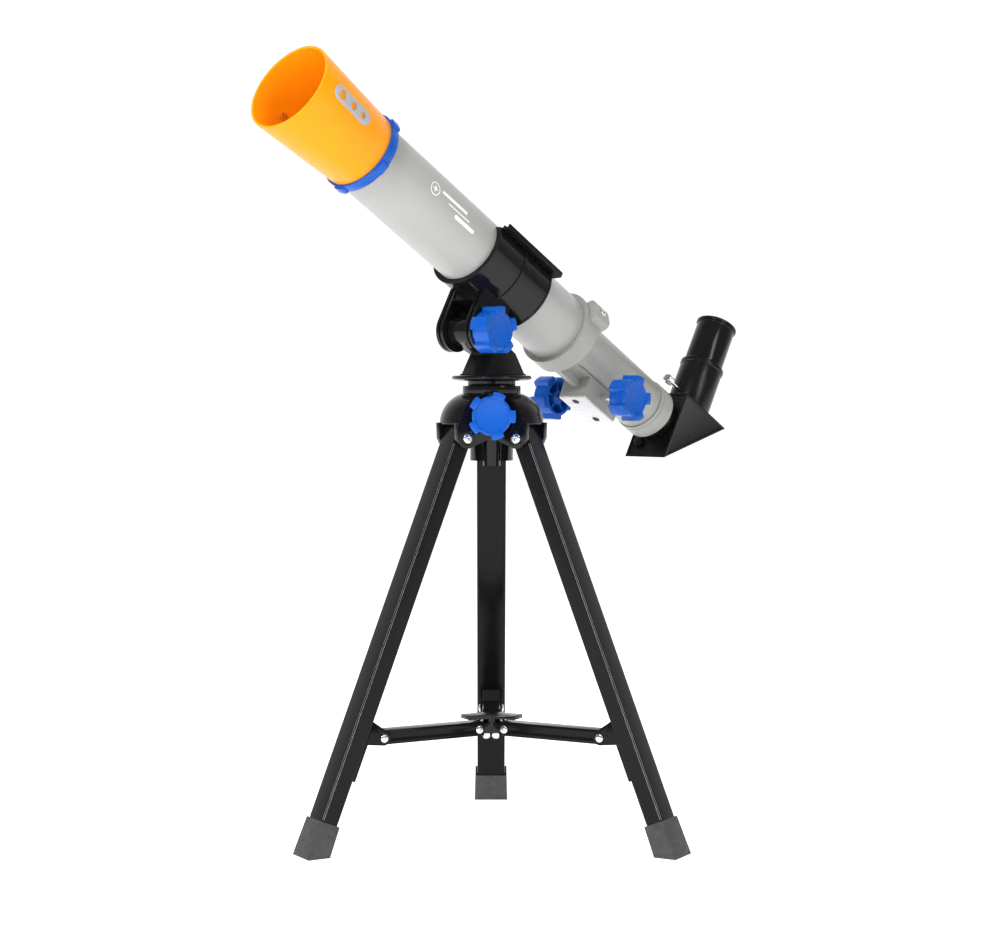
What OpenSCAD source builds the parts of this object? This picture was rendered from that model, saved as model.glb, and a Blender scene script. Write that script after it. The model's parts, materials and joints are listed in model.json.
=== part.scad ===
// Small refracting telescope on a folding table tripod.
// Millimetres, +Z up. The origin is on the floor, under the azimuth axis.
// The rear leg points along +Y. Two pose angles turn and tilt the tube.

/* [Pose] */
// Turn of the telescope about the vertical axis, counted from +X
pan = 227; // [0:1:359]
// Angle of the tube above level
tilt = 30; // [5:1:45]

/* [Optical tube] */
// Outer diameter of the main tube
tube_d = 50; // [40:0.5:60]
// Wall of the main tube
tube_wall = 1.4; // [1:0.1:2]
// Main tube ahead of the altitude axis
tube_front = 146; // [110:1:190]
// Main tube behind the altitude axis
tube_rear = 90; // [70:1:110]
// Clear diameter of the objective lens
lens_d = 40; // [30:0.5:42]
// Thickness of the objective lens
lens_t = 4.6; // [3.5:0.1:6]
// Clear diameter of the baffle inside the tube
baffle_d = 30; // [20:0.5:36]

/* [Dew shield] */
// Length of the dew shield
hood_l = 70.3; // [50:0.5:100]
// How much wider the dew shield is at its front than at its back
hood_flare = 8.8; // [4:0.2:12]
// Wall of the dew shield
hood_wall = 1.8; // [1.4:0.1:2.2]
// Width of the coloured ring behind the dew shield
ring_l = 7.2; // [5:0.2:10]
// Height of the lugs on the coloured ring
ring_lug = 1.4; // [0.8:0.1:2]
// Length of the side plates on the dew shield
plate_l = 36; // [30:1:40]
// Width of the side plates
plate_w = 10; // [8:0.5:12]

/* [Focuser] */
// Width of the collar that holds the main tube
collar_l = 15.5; // [12:0.5:20]
// Wall of that collar around the tube
collar_wall = 3.5; // [2.5:0.1:5]
// Outer diameter of the focuser sleeve
sleeve_d = 39; // [38:0.5:40]
// Rear end of the focuser sleeve, behind the altitude axis
sleeve_end = 186.3; // [175:1:200]
// Outer diameter of the sliding drawtube
draw_d = 34; // [33.5:0.1:34.4]
// Wall of the drawtube
draw_wall = 1.6; // [1.2:0.1:2]
// Distance of the pinion axis from the tube axis
pinion_drop = 24.5; // [24.3:0.1:24.7]
// Place of the pinion axis behind the altitude axis
pinion_s = 134.5; // [128:0.5:140]
// Length of the pinion housing
block_l = 37; // [34:0.5:42]
// Width of the pinion housing
block_w = 24; // [20:0.5:30]
// Radius of the pinion shaft
shaft_r = 2.5; // [2:0.1:2.6]
// Distance between the outer faces of the focus knobs
knob_span = 86; // [80:1:100]
// Width of the ring on the end of the drawtube
holder_l = 15.6; // [12:0.2:20]
// Diameter of that ring
holder_d = 40.8; // [39.5:0.1:44]

/* [Diagonal and eyepiece] */
// Outer diameter of the push-fit barrels
barrel_d = 24.5; // [24.5:0.1:25.4]
// Side of the diagonal's square front
diag_h = 55; // [52:0.5:62]
// Width of the diagonal
diag_w = 37.6; // [34:0.2:44]
// Wall of the diagonal
diag_wall = 2; // [1.6:0.1:2.6]
// How far the diagonal's top stands above the tube axis
diag_top = 23.5; // [22:0.5:26]
// Gap between drawtube ring and diagonal, filled by a shoulder
diag_gap = 9.3; // [6:0.1:14]
// Outer diameter of the eyepiece sleeve
socket_d = 32.8; // [31:0.2:36]
// Height of the eyepiece sleeve
socket_l = 38.5; // [28:0.5:46]
// Diameter of the eyepiece body
eyepiece_d = 29.6; // [28:0.2:32]
// Height of the eyepiece above its sleeve
eyepiece_l = 37.5; // [30:0.5:48]

/* [Cradle] */
// Cradle ahead of the altitude axis
cradle_front = 29; // [22:0.5:36]
// Cradle behind the altitude axis
cradle_rear = 31; // [22:0.5:38]
// Wall of the cradle
cradle_wall = 3.2; // [2.6:0.1:4]
// Width of the flanges along the cradle's edges
flange_w = 9.5; // [6:0.5:12]
// Thickness of those flanges
flange_t = 3.4; // [2.5:0.1:5]
// Space between the tube and the altitude axis
fork_drop = 23.7; // [22:0.1:28]
// Half length of the fork's ears, also their round end
ear_r = 14.4; // [12:0.2:15]
// Thickness of each ear
ear_t = 6.3; // [5:0.1:8]
// Space between the ears
fork_gap = 19.8; // [18:0.2:24]

/* [Azimuth base] */
// Place of the altitude axis ahead of the azimuth axis
fork_x = 24; // [20:0.5:28]
// Height of the altitude axis above the azimuth disc
fork_h = 30; // [28:0.5:36]
// Radius of the round hub on the altitude axis
hub_r = 9.5; // [8:0.1:10]
// Diameter of the azimuth disc
disc_d = 55.2; // [48:0.2:58]
// Thickness of the azimuth disc
disc_t = 4; // [3:0.1:5]
// Radius of the vertical shaft
post_r = 9; // [7:0.1:10]
// Height of the neck under the disc
neck_h = 3.4; // [2:0.1:5]

/* [Tripod head] */
// Height of the top of the tripod head
head_top = 312.2; // [290:0.5:340]
// Height of the collar on the head
head_collar_h = 5; // [4:0.1:6]
// Radius of the collar on the head
head_collar_r = 20; // [18:0.1:22]
// Largest radius of the dome
dome_r = 36; // [35.5:0.1:40]
// Radius of the barrel in the middle
barrel_r = 14.9; // [13:0.1:16]
// How far the barrel reaches below the leg pivots
barrel_drop = 15.9; // [12:0.1:20]
// Width of a head lobe
lobe_w = 29.6; // [28:0.2:32]

/* [Legs] */
// Distance of the leg pivots from the azimuth axis
pivot_r = 27.5; // [27:0.1:29]
// Depth of the leg pivots below the top of the head
pivot_drop = 35.5; // [34.5:0.1:37]
// Lean of an open leg from the vertical
leg_angle = 21.9; // [20:0.1:25]
// Width of a leg
leg_w = 20.6; // [18:0.2:21]
// Depth of a leg
leg_t = 12.4; // [10:0.2:12.6]
// Wall of a leg
leg_wall = 1; // [0.8:0.1:1.5]
// Width of a foot at the floor
foot_w = 25.2; // [24:0.2:30]
// Depth of a foot, square to the leg
foot_t = 15.4; // [15:0.1:20]
// Length of a foot along the leg
foot_l = 24; // [18:0.5:34]

/* [Spreader] */
// Height of the spreader's pivots above the floor
spreader_z = 75.7; // [65:0.5:90]
// Distance of the inner pivots from the azimuth axis
inner_r = 13.5; // [13:0.1:16]
// Distance of the outer pivots from the azimuth axis
outer_r = 88; // [86:0.1:90]
// Width of a spreader arm
arm_w = 12.6; // [11:0.2:13]
// Height of a spreader arm
arm_h = 9.6; // [8.5:0.1:10]
// Sheet thickness of arms and brackets
sheet = 1; // [0.8:0.1:1.2]

/* [Knobs] */
// Radius of a knob's disc
knob_r = 13.4; // [12:0.1:14]
// Radius over a knob's lobes
knob_lobe_r = 16.3; // [15:0.1:16.6]
// Thickness of a knob
knob_t = 13.5; // [10:0.1:15]

/* [Hidden] */

$fn = 96;
small_fn = 48;
over = 1;          // cuts run this far past a face
fit = 0.05;        // radial clearance of a turning or sliding fit
gap = 0.3;         // clearance between pieces that pass each other
skin = 0.02;       // pieces that touch are this far apart
lap = 0.1;         // two parts of one solid run into each other by this much

tube_r = tube_d / 2;
tube_rise = tube_r + fork_drop;
tube_in = tube_r - tube_wall;
disc_top = head_top + neck_h + disc_t;
fork_z = disc_top + fork_h;
pivot_z = head_top - pivot_drop;
bolt_r = 3;
clamp_r = 3;
screw_r = 1.5;
rivet_r = 1.6;
rivet_head_r = 2.9;
rivet_head_t = 1.4;
screw_head_r = 2.8;

LEFT = 210;
RIGHT = 330;
REAR = 90;
leg_turns = [LEFT, RIGHT, REAR];

// ---------- frames and round stock ----------

// Turns with the azimuth axis: X points where the tube points, Y to the knob side
module base_frame() {
    rotate([0, 0, pan]) children();
}

// On the altitude axis: X along the tube to its front, Y along the altitude axis
module fork_frame() {
    base_frame() translate([fork_x, 0, fork_z]) rotate([0, -tilt, 0]) children();
}

// On the tube axis: X along the tube to its front, Y to the knob side
module tube_frame() {
    fork_frame() translate([0, 0, tube_rise]) children();
}

// X points out along one leg's direction
module leg_frame(turn) {
    rotate([0, 0, turn]) children();
}

// On one leg's pivot, Z up along the leg, X away from the azimuth axis
module leg_line(turn) {
    leg_frame(turn) translate([pivot_r, 0, pivot_z]) rotate([0, -leg_angle, 0]) children();
}

module rod_x(x0, x1, r) {
    translate([x0, 0, 0]) rotate([0, 90, 0]) cylinder(h = x1 - x0, r = r);
}

module ring_x(x0, x1, r_out, r_in) {
    difference() {
        rod_x(x0, x1, r_out);
        rod_x(x0 - over, x1 + over, r_in);
    }
}

module rod_y(y0, y1, r) {
    translate([0, y0, 0]) rotate([-90, 0, 0]) cylinder(h = y1 - y0, r = r);
}

// Extrudes a shape drawn in X and Z along Y
module slab_y(y0, y1) {
    translate([0, y1, 0]) rotate([90, 0, 0]) linear_extrude(y1 - y0) children();
}

module rounded_rect(x, y, r) {
    square([x - 2 * r, y], center = true);
    square([x, y - 2 * r], center = true);
    for (i = [-1, 1], j = [-1, 1])
        translate([i * (x / 2 - r), j * (y / 2 - r)]) circle(r = r, $fn = small_fn);
}

// ---------- dew shield and objective ----------

hood_lap = 0.4;     // the main tube reaches this far past its stated front
hood_step = 1.8;    // the dew shield's back stands this far out from the tube
hood_s0 = tube_front + hood_lap;
hood_s1 = hood_s0 + hood_l;
hood_r0 = tube_r + hood_step;
hood_r1 = hood_r0 + hood_flare / 2;
hood_floor = 2;
stop_r = lens_d / 2 + 0.4;   // opening in the dew shield's floor
spigot_wall = 1.5;
plate_t = 1.1;
plate_share = 0.58; // place of the side plates along the dew shield
plate_s = hood_s0 + plate_share * hood_l;
plate_turn = 83;
plate_screw_shift = 4.6;
plate_screw_s = plate_s + plate_screw_shift;
plate_head_r = 2.6;
plate_head_t = 1.5;
plate_holes = [[10.5, 3.2], [-1, 2.7], [-11, 2.2]];

// Radius of the dew shield's outside at one place along the tube
function hood_r(s) = hood_r0 + (hood_r1 - hood_r0) * (s - hood_s0) / hood_l;

module dew_shield() color("orange") tube_frame() difference() {
    union() {
        rotate([0, 90, 0]) rotate_extrude() polygon([
            [stop_r, hood_s0], [hood_r0, hood_s0], [hood_r1, hood_s1],
            [hood_r1 - hood_wall, hood_s1], [hood_r0 - hood_wall, hood_s0 + hood_floor],
            [stop_r, hood_s0 + hood_floor]]);
        ring_x(hood_s0 - ring_l, hood_s0 + over, tube_r + fit + spigot_wall, tube_r + fit);
    }
    for (side = [-plate_turn, 180 - plate_turn]) rotate([side, 0, 0]) translate([plate_screw_s, 0, 0])
        cylinder(h = 2 * hood_r1, r = screw_r + fit, $fn = small_fn);
}

// One side plate, lying on the slope of the dew shield
module side_plate() {
    slope = atan((hood_r1 - hood_r0) / hood_l);
    translate([plate_s, 0, hood_r(plate_s)]) rotate([0, -slope, 0]) difference() {
        intersection() {
            linear_extrude(2 * hood_r1, center = true) difference() {
                union() {
                    square([plate_l - plate_w, plate_w], center = true);
                    for (i = [-1, 1]) translate([i * (plate_l - plate_w) / 2, 0]) circle(d = plate_w);
                }
                for (h = plate_holes) translate([h[0], 0]) circle(r = h[1], $fn = small_fn);
            }
            translate([0, 0, -hood_r(plate_s)]) rod_x(-plate_l, plate_l, hood_r(plate_s) + plate_t);
        }
        translate([0, 0, -hood_r(plate_s)]) rod_x(-plate_l, plate_l, hood_r(plate_s) + skin);
    }
}

module side_plates() color("gray") tube_frame()
    for (side = [-plate_turn, 180 - plate_turn]) rotate([side, 0, 0]) side_plate();

module side_plate_screws() color("silver") tube_frame()
    for (side = [-plate_turn, 180 - plate_turn]) rotate([side, 0, 0])
        translate([plate_screw_s, 0, hood_r(plate_screw_s)]) {
            translate([0, 0, -hood_wall - gap - lap - plate_head_t])
                cylinder(h = plate_head_t, r = plate_head_r, $fn = small_fn);
            translate([0, 0, -hood_wall - gap - 2 * lap])
                cylinder(h = hood_wall + gap, r = screw_r, $fn = small_fn);
        }

ring_step = 3.2;    // the coloured ring stands this far out from the tube
ring_r = tube_r + ring_step;
lug_count = 9;
lug_w = 7;

module lens_ring() color("royalblue") tube_frame() difference() {
    union() {
        rod_x(hood_s0 - ring_l, hood_s0, ring_r);
        for (i = [0 : lug_count - 1]) rotate([i * 360 / lug_count, 0, 0])
            translate([hood_s0 - ring_l + over, -lug_w / 2, 0])
                cube([ring_l - 2 * over, lug_w, ring_r + ring_lug]);
    }
    rod_x(hood_s0 - ring_l - over, hood_s0 + over, tube_r + fit + spigot_wall + fit);
}

cell_l = 16;
lens_seat = 7.2;
lens_lip = 1.5;     // rim of the lens outside its clear opening
cell_lip = 1;
retainer_lip = 0.5;
lens_rim_r = lens_d / 2 + lens_lip;
lens_back_s = hood_s0 - lens_seat;

module lens_cell() color("black") tube_frame() difference() {
    rod_x(hood_s0 - cell_l, hood_s0, tube_in - fit);
    rod_x(hood_s0 - cell_l - over, hood_s0 + over, lens_d / 2 - cell_lip);
    rod_x(lens_back_s, hood_s0 + over, lens_rim_r + fit);
}

lens_ball_r = 120;

module objective_lens() color("lightblue") tube_frame() rotate([0, 90, 0]) rotate_extrude()
    intersection() {
        translate([0, lens_back_s]) square([lens_rim_r, lens_t]);
        translate([0, lens_back_s + lens_t - lens_ball_r]) circle(r = lens_ball_r, $fn = 4 * $fn);
        translate([0, lens_back_s + lens_ball_r]) circle(r = lens_ball_r, $fn = 4 * $fn);
    }

module lens_retainer() color("black") tube_frame()
    ring_x(lens_back_s + lens_t + fit, hood_s0, lens_rim_r - fit, lens_d / 2 - retainer_lip);

// ---------- main tube ----------

cradle_screw_s = [-18, 16];
baffle_s = 40;
baffle_t = 1.2;
baffle_rim_l = 6;
baffle_rim = 1;     // depth of the baffle's rim under the tube's wall

module main_tube() color("gainsboro") tube_frame() difference() {
    ring_x(-tube_rear, hood_s0, tube_r, tube_in);
    for (s = cradle_screw_s) translate([s, 0, -tube_r - over])
        cylinder(h = tube_wall + 2 * over, r = screw_r + fit, $fn = small_fn);
}

module tube_baffle() color("black") tube_frame() {
    ring_x(baffle_s, baffle_s + baffle_t, tube_in - fit, baffle_d / 2);
    ring_x(baffle_s, baffle_s + baffle_rim_l, tube_in - fit, tube_in - baffle_rim);
}

// ---------- cradle, fork and altitude axis ----------

cradle_r = tube_r + fit + cradle_wall;
edge_share = 0.62;  // height of the cradle's edges, as a share of the tube's radius
cradle_edge = edge_share * tube_r;
web_t = 4.5;
rib_w = 1.6;
rib_s = -0.85;
rib_h = 0.9;
flange_in = tube_r - 4.5;
flange_s0 = -cradle_rear - 4.5;
flange_s1 = cradle_front - 2;

module cradle() color("black") difference() {
    union() {
        tube_frame() intersection() {
            union() {
                rod_x(-cradle_rear, cradle_front, cradle_r);
                rod_x(rib_s - rib_w / 2, rib_s + rib_w / 2, cradle_r + rib_h);
            }
            translate([-2 * cradle_rear, -2 * tube_r, -2 * tube_r])
                cube([4 * cradle_rear, 4 * tube_r, 2 * tube_r + cradle_edge]);
        }
        tube_frame() for (side = [-1, 1])
            translate([flange_s0, min(side * flange_in, side * (flange_in + flange_w)), cradle_edge - over])
                cube([flange_s1 - flange_s0, flange_w, flange_t]);
        fork_frame() for (y = [-fork_gap / 2 - ear_t, fork_gap / 2]) slab_y(y, y + ear_t) {
            circle(r = ear_r);
            translate([-ear_r, 0]) square([2 * ear_r, tube_rise - tube_r / 2]);
        }
        fork_frame() translate([-ear_r, -fork_gap / 2 - over, fork_drop - cradle_wall - web_t])
            cube([2 * ear_r, fork_gap + 2 * over, web_t + 2 * cradle_wall]);
    }
    tube_frame() rod_x(-3 * cradle_rear, 3 * cradle_front, tube_r + fit);
    fork_frame() rod_y(-fork_gap, fork_gap, bolt_r + fit);
    tube_frame() for (s = cradle_screw_s) translate([s, 0, -tube_r - cradle_wall - web_t - over])
        cylinder(h = cradle_wall + web_t + 2 * over, r = screw_r, $fn = small_fn);
}

cradle_screw_l = 4;
cradle_head_lift = 0.6;
cradle_head_t = 1.6;

module cradle_screws() color("silver") tube_frame() for (s = cradle_screw_s)
    translate([s, 0, -tube_in + cradle_head_lift]) {
        cylinder(h = cradle_head_t, r = screw_head_r, $fn = small_fn);
        translate([0, 0, over - tube_wall - cradle_screw_l])
            cylinder(h = tube_wall + cradle_screw_l, r = screw_r - skin, $fn = small_fn);
    }

fork_half = fork_gap / 2 + ear_t;
knob_seat = 0.6;
knob_cap = 4;       // closed front of a knob, past the end of its shaft
bolt_head_r = 6;
bolt_head_t = 3;
altitude_knob_turn = 132;

module altitude_bolt() color("silver") fork_frame() {
    rod_y(-fork_half - bolt_head_t, -fork_half, bolt_head_r);
    rod_y(-fork_half, fork_half + knob_seat + knob_t - knob_cap, bolt_r);
}

// Five-lobed clamp knob, its back at Z = 0 and its axis along Z
module knob(bore, start) {
    back_depth = 8;
    back_wall = 2;
    hub_wall = 2.6;
    grip_w = 8.6;
    grip_root = 4;
    grip_proud = 0.8;
    grips = 5;
    difference() {
        union() {
            cylinder(h = knob_t, r = knob_r);
            for (i = [0 : grips - 1]) rotate([0, 0, start + i * 360 / grips]) intersection() {
                translate([knob_r - grip_root, -grip_w / 2, over])
                    cube([knob_lobe_r - knob_r + grip_root, grip_w, knob_t - over + grip_proud]);
                cylinder(h = 2 * knob_t, r = knob_lobe_r);
            }
        }
        difference() {
            translate([0, 0, -over]) cylinder(h = back_depth + over, r = knob_r - back_wall);
            cylinder(h = back_depth, r = bore + hub_wall);
        }
        translate([0, 0, -over]) cylinder(h = knob_t - knob_cap + over, r = bore + fit);
    }
}

module altitude_knob() color("royalblue") fork_frame()
    translate([0, fork_half + knob_seat, 0]) rotate([-90, 0, 0]) knob(bolt_r, altitude_knob_turn);

// ---------- azimuth base ----------

base_l0 = 38;
base_l1 = 24.8;
base_w0 = 25.3;
base_shift = -1.5;
base_h = 15.4;
post_l = head_top - pivot_z + barrel_drop - 5;
neck_r = head_collar_r - 3.5;
hub_tangent = [0.44, 0.898];   // where the neck's edges meet the hub, as shares of its radius
retainer_r = 2;
retainer_l = 10;
retainer_head_r = 4.2;
retainer_head_t = 2;
washer_r = post_r + 2.6;
washer_t = 1.6;

module azimuth_base() color("black") base_frame() difference() {
    union() {
        translate([0, 0, disc_top - disc_t]) cylinder(h = disc_t, d = disc_d);
        translate([0, 0, head_top]) cylinder(h = neck_h + over, r = neck_r);
        translate([0, 0, head_top - post_l]) cylinder(h = post_l + over, r = post_r);
        translate([0, 0, disc_top - over / 2]) intersection() {
            slab_y(-base_w0, base_w0) polygon([
                [base_shift - base_l0 / 2, 0], [base_shift + base_l0 / 2, 0],
                [base_shift + base_l1 / 2, base_h], [base_shift - base_l1 / 2, base_h]]);
            rotate([0, 0, 90]) slab_y(-base_l0, base_l0) polygon([
                [-base_w0 / 2, 0], [base_w0 / 2, 0],
                [fork_gap / 2 - gap / 2, base_h], [gap / 2 - fork_gap / 2, base_h]]);
        }
        translate([0, 0, disc_top]) slab_y(gap - fork_gap / 2, fork_gap / 2 - gap) {
            translate([fork_x, fork_h]) circle(r = hub_r);
            polygon([[base_shift - base_l1 / 2, base_h - over], [base_shift - base_l1 / 2, base_h],
                [fork_x - hub_tangent[0] * hub_r, fork_h + hub_tangent[1] * hub_r], [fork_x, fork_h],
                [fork_x + hub_tangent[0] * hub_r, fork_h - hub_tangent[1] * hub_r],
                [base_shift + base_l1 / 2, base_h - over]]);
        }
    }
    translate([fork_x, 0, fork_z]) rod_y(-fork_gap, fork_gap, bolt_r + fit);
    translate([0, 0, head_top - post_l - over])
        cylinder(h = retainer_l + 2 * over, r = retainer_r + skin, $fn = small_fn);
}

module azimuth_retainer() color("silver") base_frame() translate([0, 0, head_top - post_l]) {
    translate([0, 0, -washer_t]) cylinder(h = washer_t, r = washer_r);
    translate([0, 0, -washer_t - retainer_head_t]) cylinder(h = retainer_head_t + lap, r = retainer_head_r);
    translate([0, 0, -washer_t]) cylinder(h = washer_t + retainer_l, r = retainer_r, $fn = small_fn);
}

// ---------- tripod head ----------

ledge_rise = 9.3;   // underside of the dome above the leg pivots
ledge_z = pivot_z + ledge_rise;
dome_arc = 22;
slot_w = leg_w + 0.8;
slot_r0 = 17.7;
slot_r1 = pivot_r + 4.7;
slot_rise = 1.2;
leg_top = 8;
clamp_drop = 20.2;
clamp_z = head_top - clamp_drop;
clamp_boss_r = 7;
clamp_boss_l = 11;
clamp_knob_y = barrel_r + clamp_boss_l + 1.6;
clamp_knob_turn = -2;
boss_r = 5.9;       // round boss down the front of the barrel
boss_y = -11;
boss_h = 26;
boss_drop = 3.3;
recess_h = 5.2;
recess_r = post_r + 3;
pivot_screw_r = 2;
pivot_head_r = 3.7;
pivot_head_t = 2.4;
cheek_r = 7.2;
cheek_root = 5;
cheek_top = [[dome_r - 0.4, over], [dome_r - 0.8, -ledge_rise - 0.5]];   // X, and Z from the ledge
cheek_low = [[5.2, -5], [-2, -6.9], [-12, -3]];                          // from the leg pivot
cheek_root_z = 2;

module head_dome() {
    rotate_extrude() intersection() {
        union() {
            translate([dome_r - dome_arc, ledge_z]) circle(r = dome_arc);
            translate([0, ledge_z]) square([dome_r - dome_arc, dome_arc]);
        }
        translate([0, ledge_z]) square([dome_r + over, head_top - head_collar_h - ledge_z + over / 2]);
    }
}

// Outline of a cheek beside a leg's top, in X from the azimuth axis and Z
module cheek_outline() {
    translate([pivot_r, pivot_z]) circle(r = cheek_r);
    polygon(concat([[cheek_root, ledge_z + over]], [for (c = cheek_top) [c[0], ledge_z + c[1]]],
        [for (c = cheek_low) [pivot_r + c[0], pivot_z + c[1]]], [[cheek_root, pivot_z + cheek_root_z]]));
}

module tripod_head() color("black") difference() {
    union() {
        translate([0, 0, pivot_z - barrel_drop])
            cylinder(h = head_top - pivot_z + barrel_drop - over, r = barrel_r);
        translate([0, 0, head_top - head_collar_h]) cylinder(h = head_collar_h, r = head_collar_r);
        for (turn = leg_turns) leg_frame(turn) {
            intersection() {
                head_dome();
                translate([0, -lobe_w / 2, ledge_z]) cube([dome_r + over, lobe_w, dome_arc]);
            }
            for (y = [-lobe_w / 2, slot_w / 2]) slab_y(y, y + (lobe_w - slot_w) / 2) cheek_outline();
        }
        translate([0, 0, clamp_z]) rod_y(-barrel_r - clamp_boss_l, 0, clamp_boss_r);
        translate([0, boss_y, pivot_z - barrel_drop - boss_drop]) cylinder(h = boss_h, r = boss_r);
    }
    translate([0, 0, pivot_z - barrel_drop - over]) cylinder(h = head_top, r = post_r + fit);
    translate([0, 0, pivot_z - barrel_drop - 2 * over]) cylinder(h = recess_h + 2 * over, r = recess_r);
    for (turn = leg_turns) leg_frame(turn) {
        translate([slot_r0, -slot_w / 2, pivot_z - 2 * barrel_drop])
            cube([slot_r1 - slot_r0, slot_w, ledge_rise + slot_rise + 2 * barrel_drop]);
        translate([pivot_r, 0, pivot_z]) rod_y(-lobe_w, lobe_w, pivot_screw_r + fit);
    }
    translate([0, 0, clamp_z]) rod_y(-2 * dome_r, 0, clamp_r + fit);
}

module azimuth_knob() color("royalblue")
    translate([0, -clamp_knob_y, clamp_z]) rotate([90, 0, 0]) knob(clamp_r, clamp_knob_turn);

module azimuth_clamp_screw() color("silver")
    translate([0, 0, clamp_z]) rod_y(knob_cap - clamp_knob_y - knob_t, -post_r - gap, clamp_r);

module leg_pivot_screws() color("silver") for (turn = leg_turns)
    leg_frame(turn) translate([pivot_r, 0, pivot_z]) {
        rod_y(-lobe_w / 2 - 2 * lap, lobe_w / 2 + 2 * lap, pivot_screw_r);
        rod_y(lobe_w / 2 + lap, lobe_w / 2 + pivot_head_t, pivot_head_r);
        rod_y(-lobe_w / 2 - pivot_head_t, -lobe_w / 2 - lap, pivot_head_r);
    }

// ---------- legs ----------

leg_low = pivot_z / cos(leg_angle);
foot_floor = 8;     // a leg's tube stops this far short of the floor
leg_end = leg_low - foot_floor;
leg_round = 1.6;
leg_round_in = 0.8;
foot_round = 1.5;
tab_dr = outer_r - pivot_r;
tab_dz = spreader_z - pivot_z;
tab_x = tab_dr * cos(leg_angle) + tab_dz * sin(leg_angle);
tab_z = tab_dz * cos(leg_angle) - tab_dr * sin(leg_angle);
tab_side = 0.5;     // room between a spreader arm and each cheek of its bracket
cheek_in = arm_w / 2 + tab_side;
window_up = 8;
window_down = 26;
strip_l = 34;       // a bracket's strip ends this far below its pivot
strip_rivet_drop = 30;
strip_rivet_y = 3.6;
strip_head_t = 1;

module leg(turn) leg_line(turn) difference() {
    translate([0, 0, -leg_end]) linear_extrude(leg_end + leg_top) difference() {
        rounded_rect(leg_t, leg_w, leg_round);
        rounded_rect(leg_t - 2 * leg_wall, leg_w - 2 * leg_wall, leg_round_in);
    }
    rod_y(-leg_w, leg_w, pivot_screw_r + fit);
    translate([-leg_t, -cheek_in, tab_z - window_down])
        cube([leg_t - leg_wall, 2 * cheek_in, window_down + window_up]);
}

module foot(turn) leg_frame(turn) difference() {
    intersection() {
        translate([pivot_r, 0, pivot_z]) rotate([0, -leg_angle, 0]) {
            translate([0, 0, -leg_low - foot_t]) linear_extrude(foot_t + foot_l)
                rounded_rect(foot_t, foot_w, foot_round);
        }
        translate([0, -foot_w, 0]) cube([3 * outer_r, 2 * foot_w, 2 * foot_l]);
    }
    translate([pivot_r, 0, pivot_z]) rotate([0, -leg_angle, 0])
        translate([0, 0, -leg_end - skin]) linear_extrude(leg_end)
            rounded_rect(leg_t + 2 * skin, leg_w + 2 * skin, leg_round);
}

module bracket(turn) leg_line(turn) {
    face = -leg_t / 2;
    tab_r = 5;
    tab_flare = 3;
    cheek_d = 2.6;
    low = tab_z - strip_l;
    difference() {
        union() {
            for (y = [-cheek_in - sheet, cheek_in]) slab_y(y, y + sheet) {
                translate([tab_x, tab_z]) circle(r = tab_r, $fn = small_fn);
                polygon([[tab_x - over, tab_z + tab_r - lap], [face, tab_z + tab_r + tab_flare],
                    [face, low], [face - cheek_d, low], [face - cheek_d, tab_z - tab_r - tab_flare],
                    [tab_x - over, tab_z - tab_r + lap]]);
            }
            translate([face - sheet, -cheek_in - sheet, low])
                cube([sheet, 2 * (cheek_in + sheet), strip_l - window_down]);
        }
        translate([tab_x, 0, tab_z]) rod_y(-arm_w, arm_w, rivet_r);
        for (y = [-strip_rivet_y, strip_rivet_y]) translate([0, y, tab_z - strip_rivet_drop])
            rod_x(-leg_t, 0, rivet_r);
    }
}

// The two outer pivot rivets of a leg and the two that hold its bracket
module leg_rivets(turn) leg_line(turn) {
    face = -leg_t / 2;
    for (side = [0, 180]) translate([tab_x, 0, tab_z]) rotate([side, 0, 0]) {
        rod_y(cheek_in + lap, cheek_in + sheet + lap, rivet_r - skin);
        rod_y(cheek_in + sheet, cheek_in + sheet + rivet_head_t, rivet_head_r);
    }
    for (y = [-strip_rivet_y, strip_rivet_y]) translate([face, y, tab_z - strip_rivet_drop]) {
        rod_x(-sheet - strip_head_t, -sheet, rivet_head_r);
        rod_x(-sheet - lap, -fit, rivet_r - skin);
    }
}

// ---------- spreader ----------

arm_low = arm_h / 2 - 0.2;
end_in = 4;
end_out = 3.2;
lug_w2 = arm_w / 2 - sheet - 0.2;
spindle_r = 6.6;    // round middle of the hub
spindle_z0 = -3.8;
spindle_z1 = 9.9;
crown_r = 7.6;
crown_z = 6.5;
arm_lug_r = 3.4;
roof_z = 6.8;       // cover over each arm's inner end
roof_t = 2.8;
roof_out = 7.5;

module spreader_hub() color("black") translate([0, 0, spreader_z]) difference() {
    union() {
        translate([0, 0, spindle_z0]) cylinder(h = spindle_z1 - spindle_z0, r = spindle_r);
        translate([0, 0, crown_z]) cylinder(h = spindle_z1 - crown_z, r = crown_r);
        for (turn = leg_turns) leg_frame(turn) {
            slab_y(-lug_w2, lug_w2) {
                translate([inner_r, 0]) circle(r = arm_lug_r, $fn = small_fn);
                translate([-2 * over, -arm_lug_r]) square([inner_r + 2 * over, 2 * arm_lug_r]);
            }
            translate([-1.5 * over, -arm_w / 2, roof_z])
                cube([inner_r + roof_out + 1.5 * over, arm_w, roof_t]);
        }
    }
    for (turn = leg_turns) leg_frame(turn) translate([inner_r, 0, 0])
        rod_y(-lug_w2 - over, lug_w2 + over, rivet_r);
}

module hub_rivets() color("silver") translate([0, 0, spreader_z])
    for (turn = leg_turns) leg_frame(turn) translate([inner_r, 0, 0]) {
        rod_y(-arm_w / 2 - 2 * lap, arm_w / 2 + 2 * lap, rivet_r - skin);
        rod_y(arm_w / 2 + lap, arm_w / 2 + rivet_head_t, rivet_head_r);
        rod_y(-arm_w / 2 - rivet_head_t, -arm_w / 2 - lap, rivet_head_r);
    }

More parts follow.
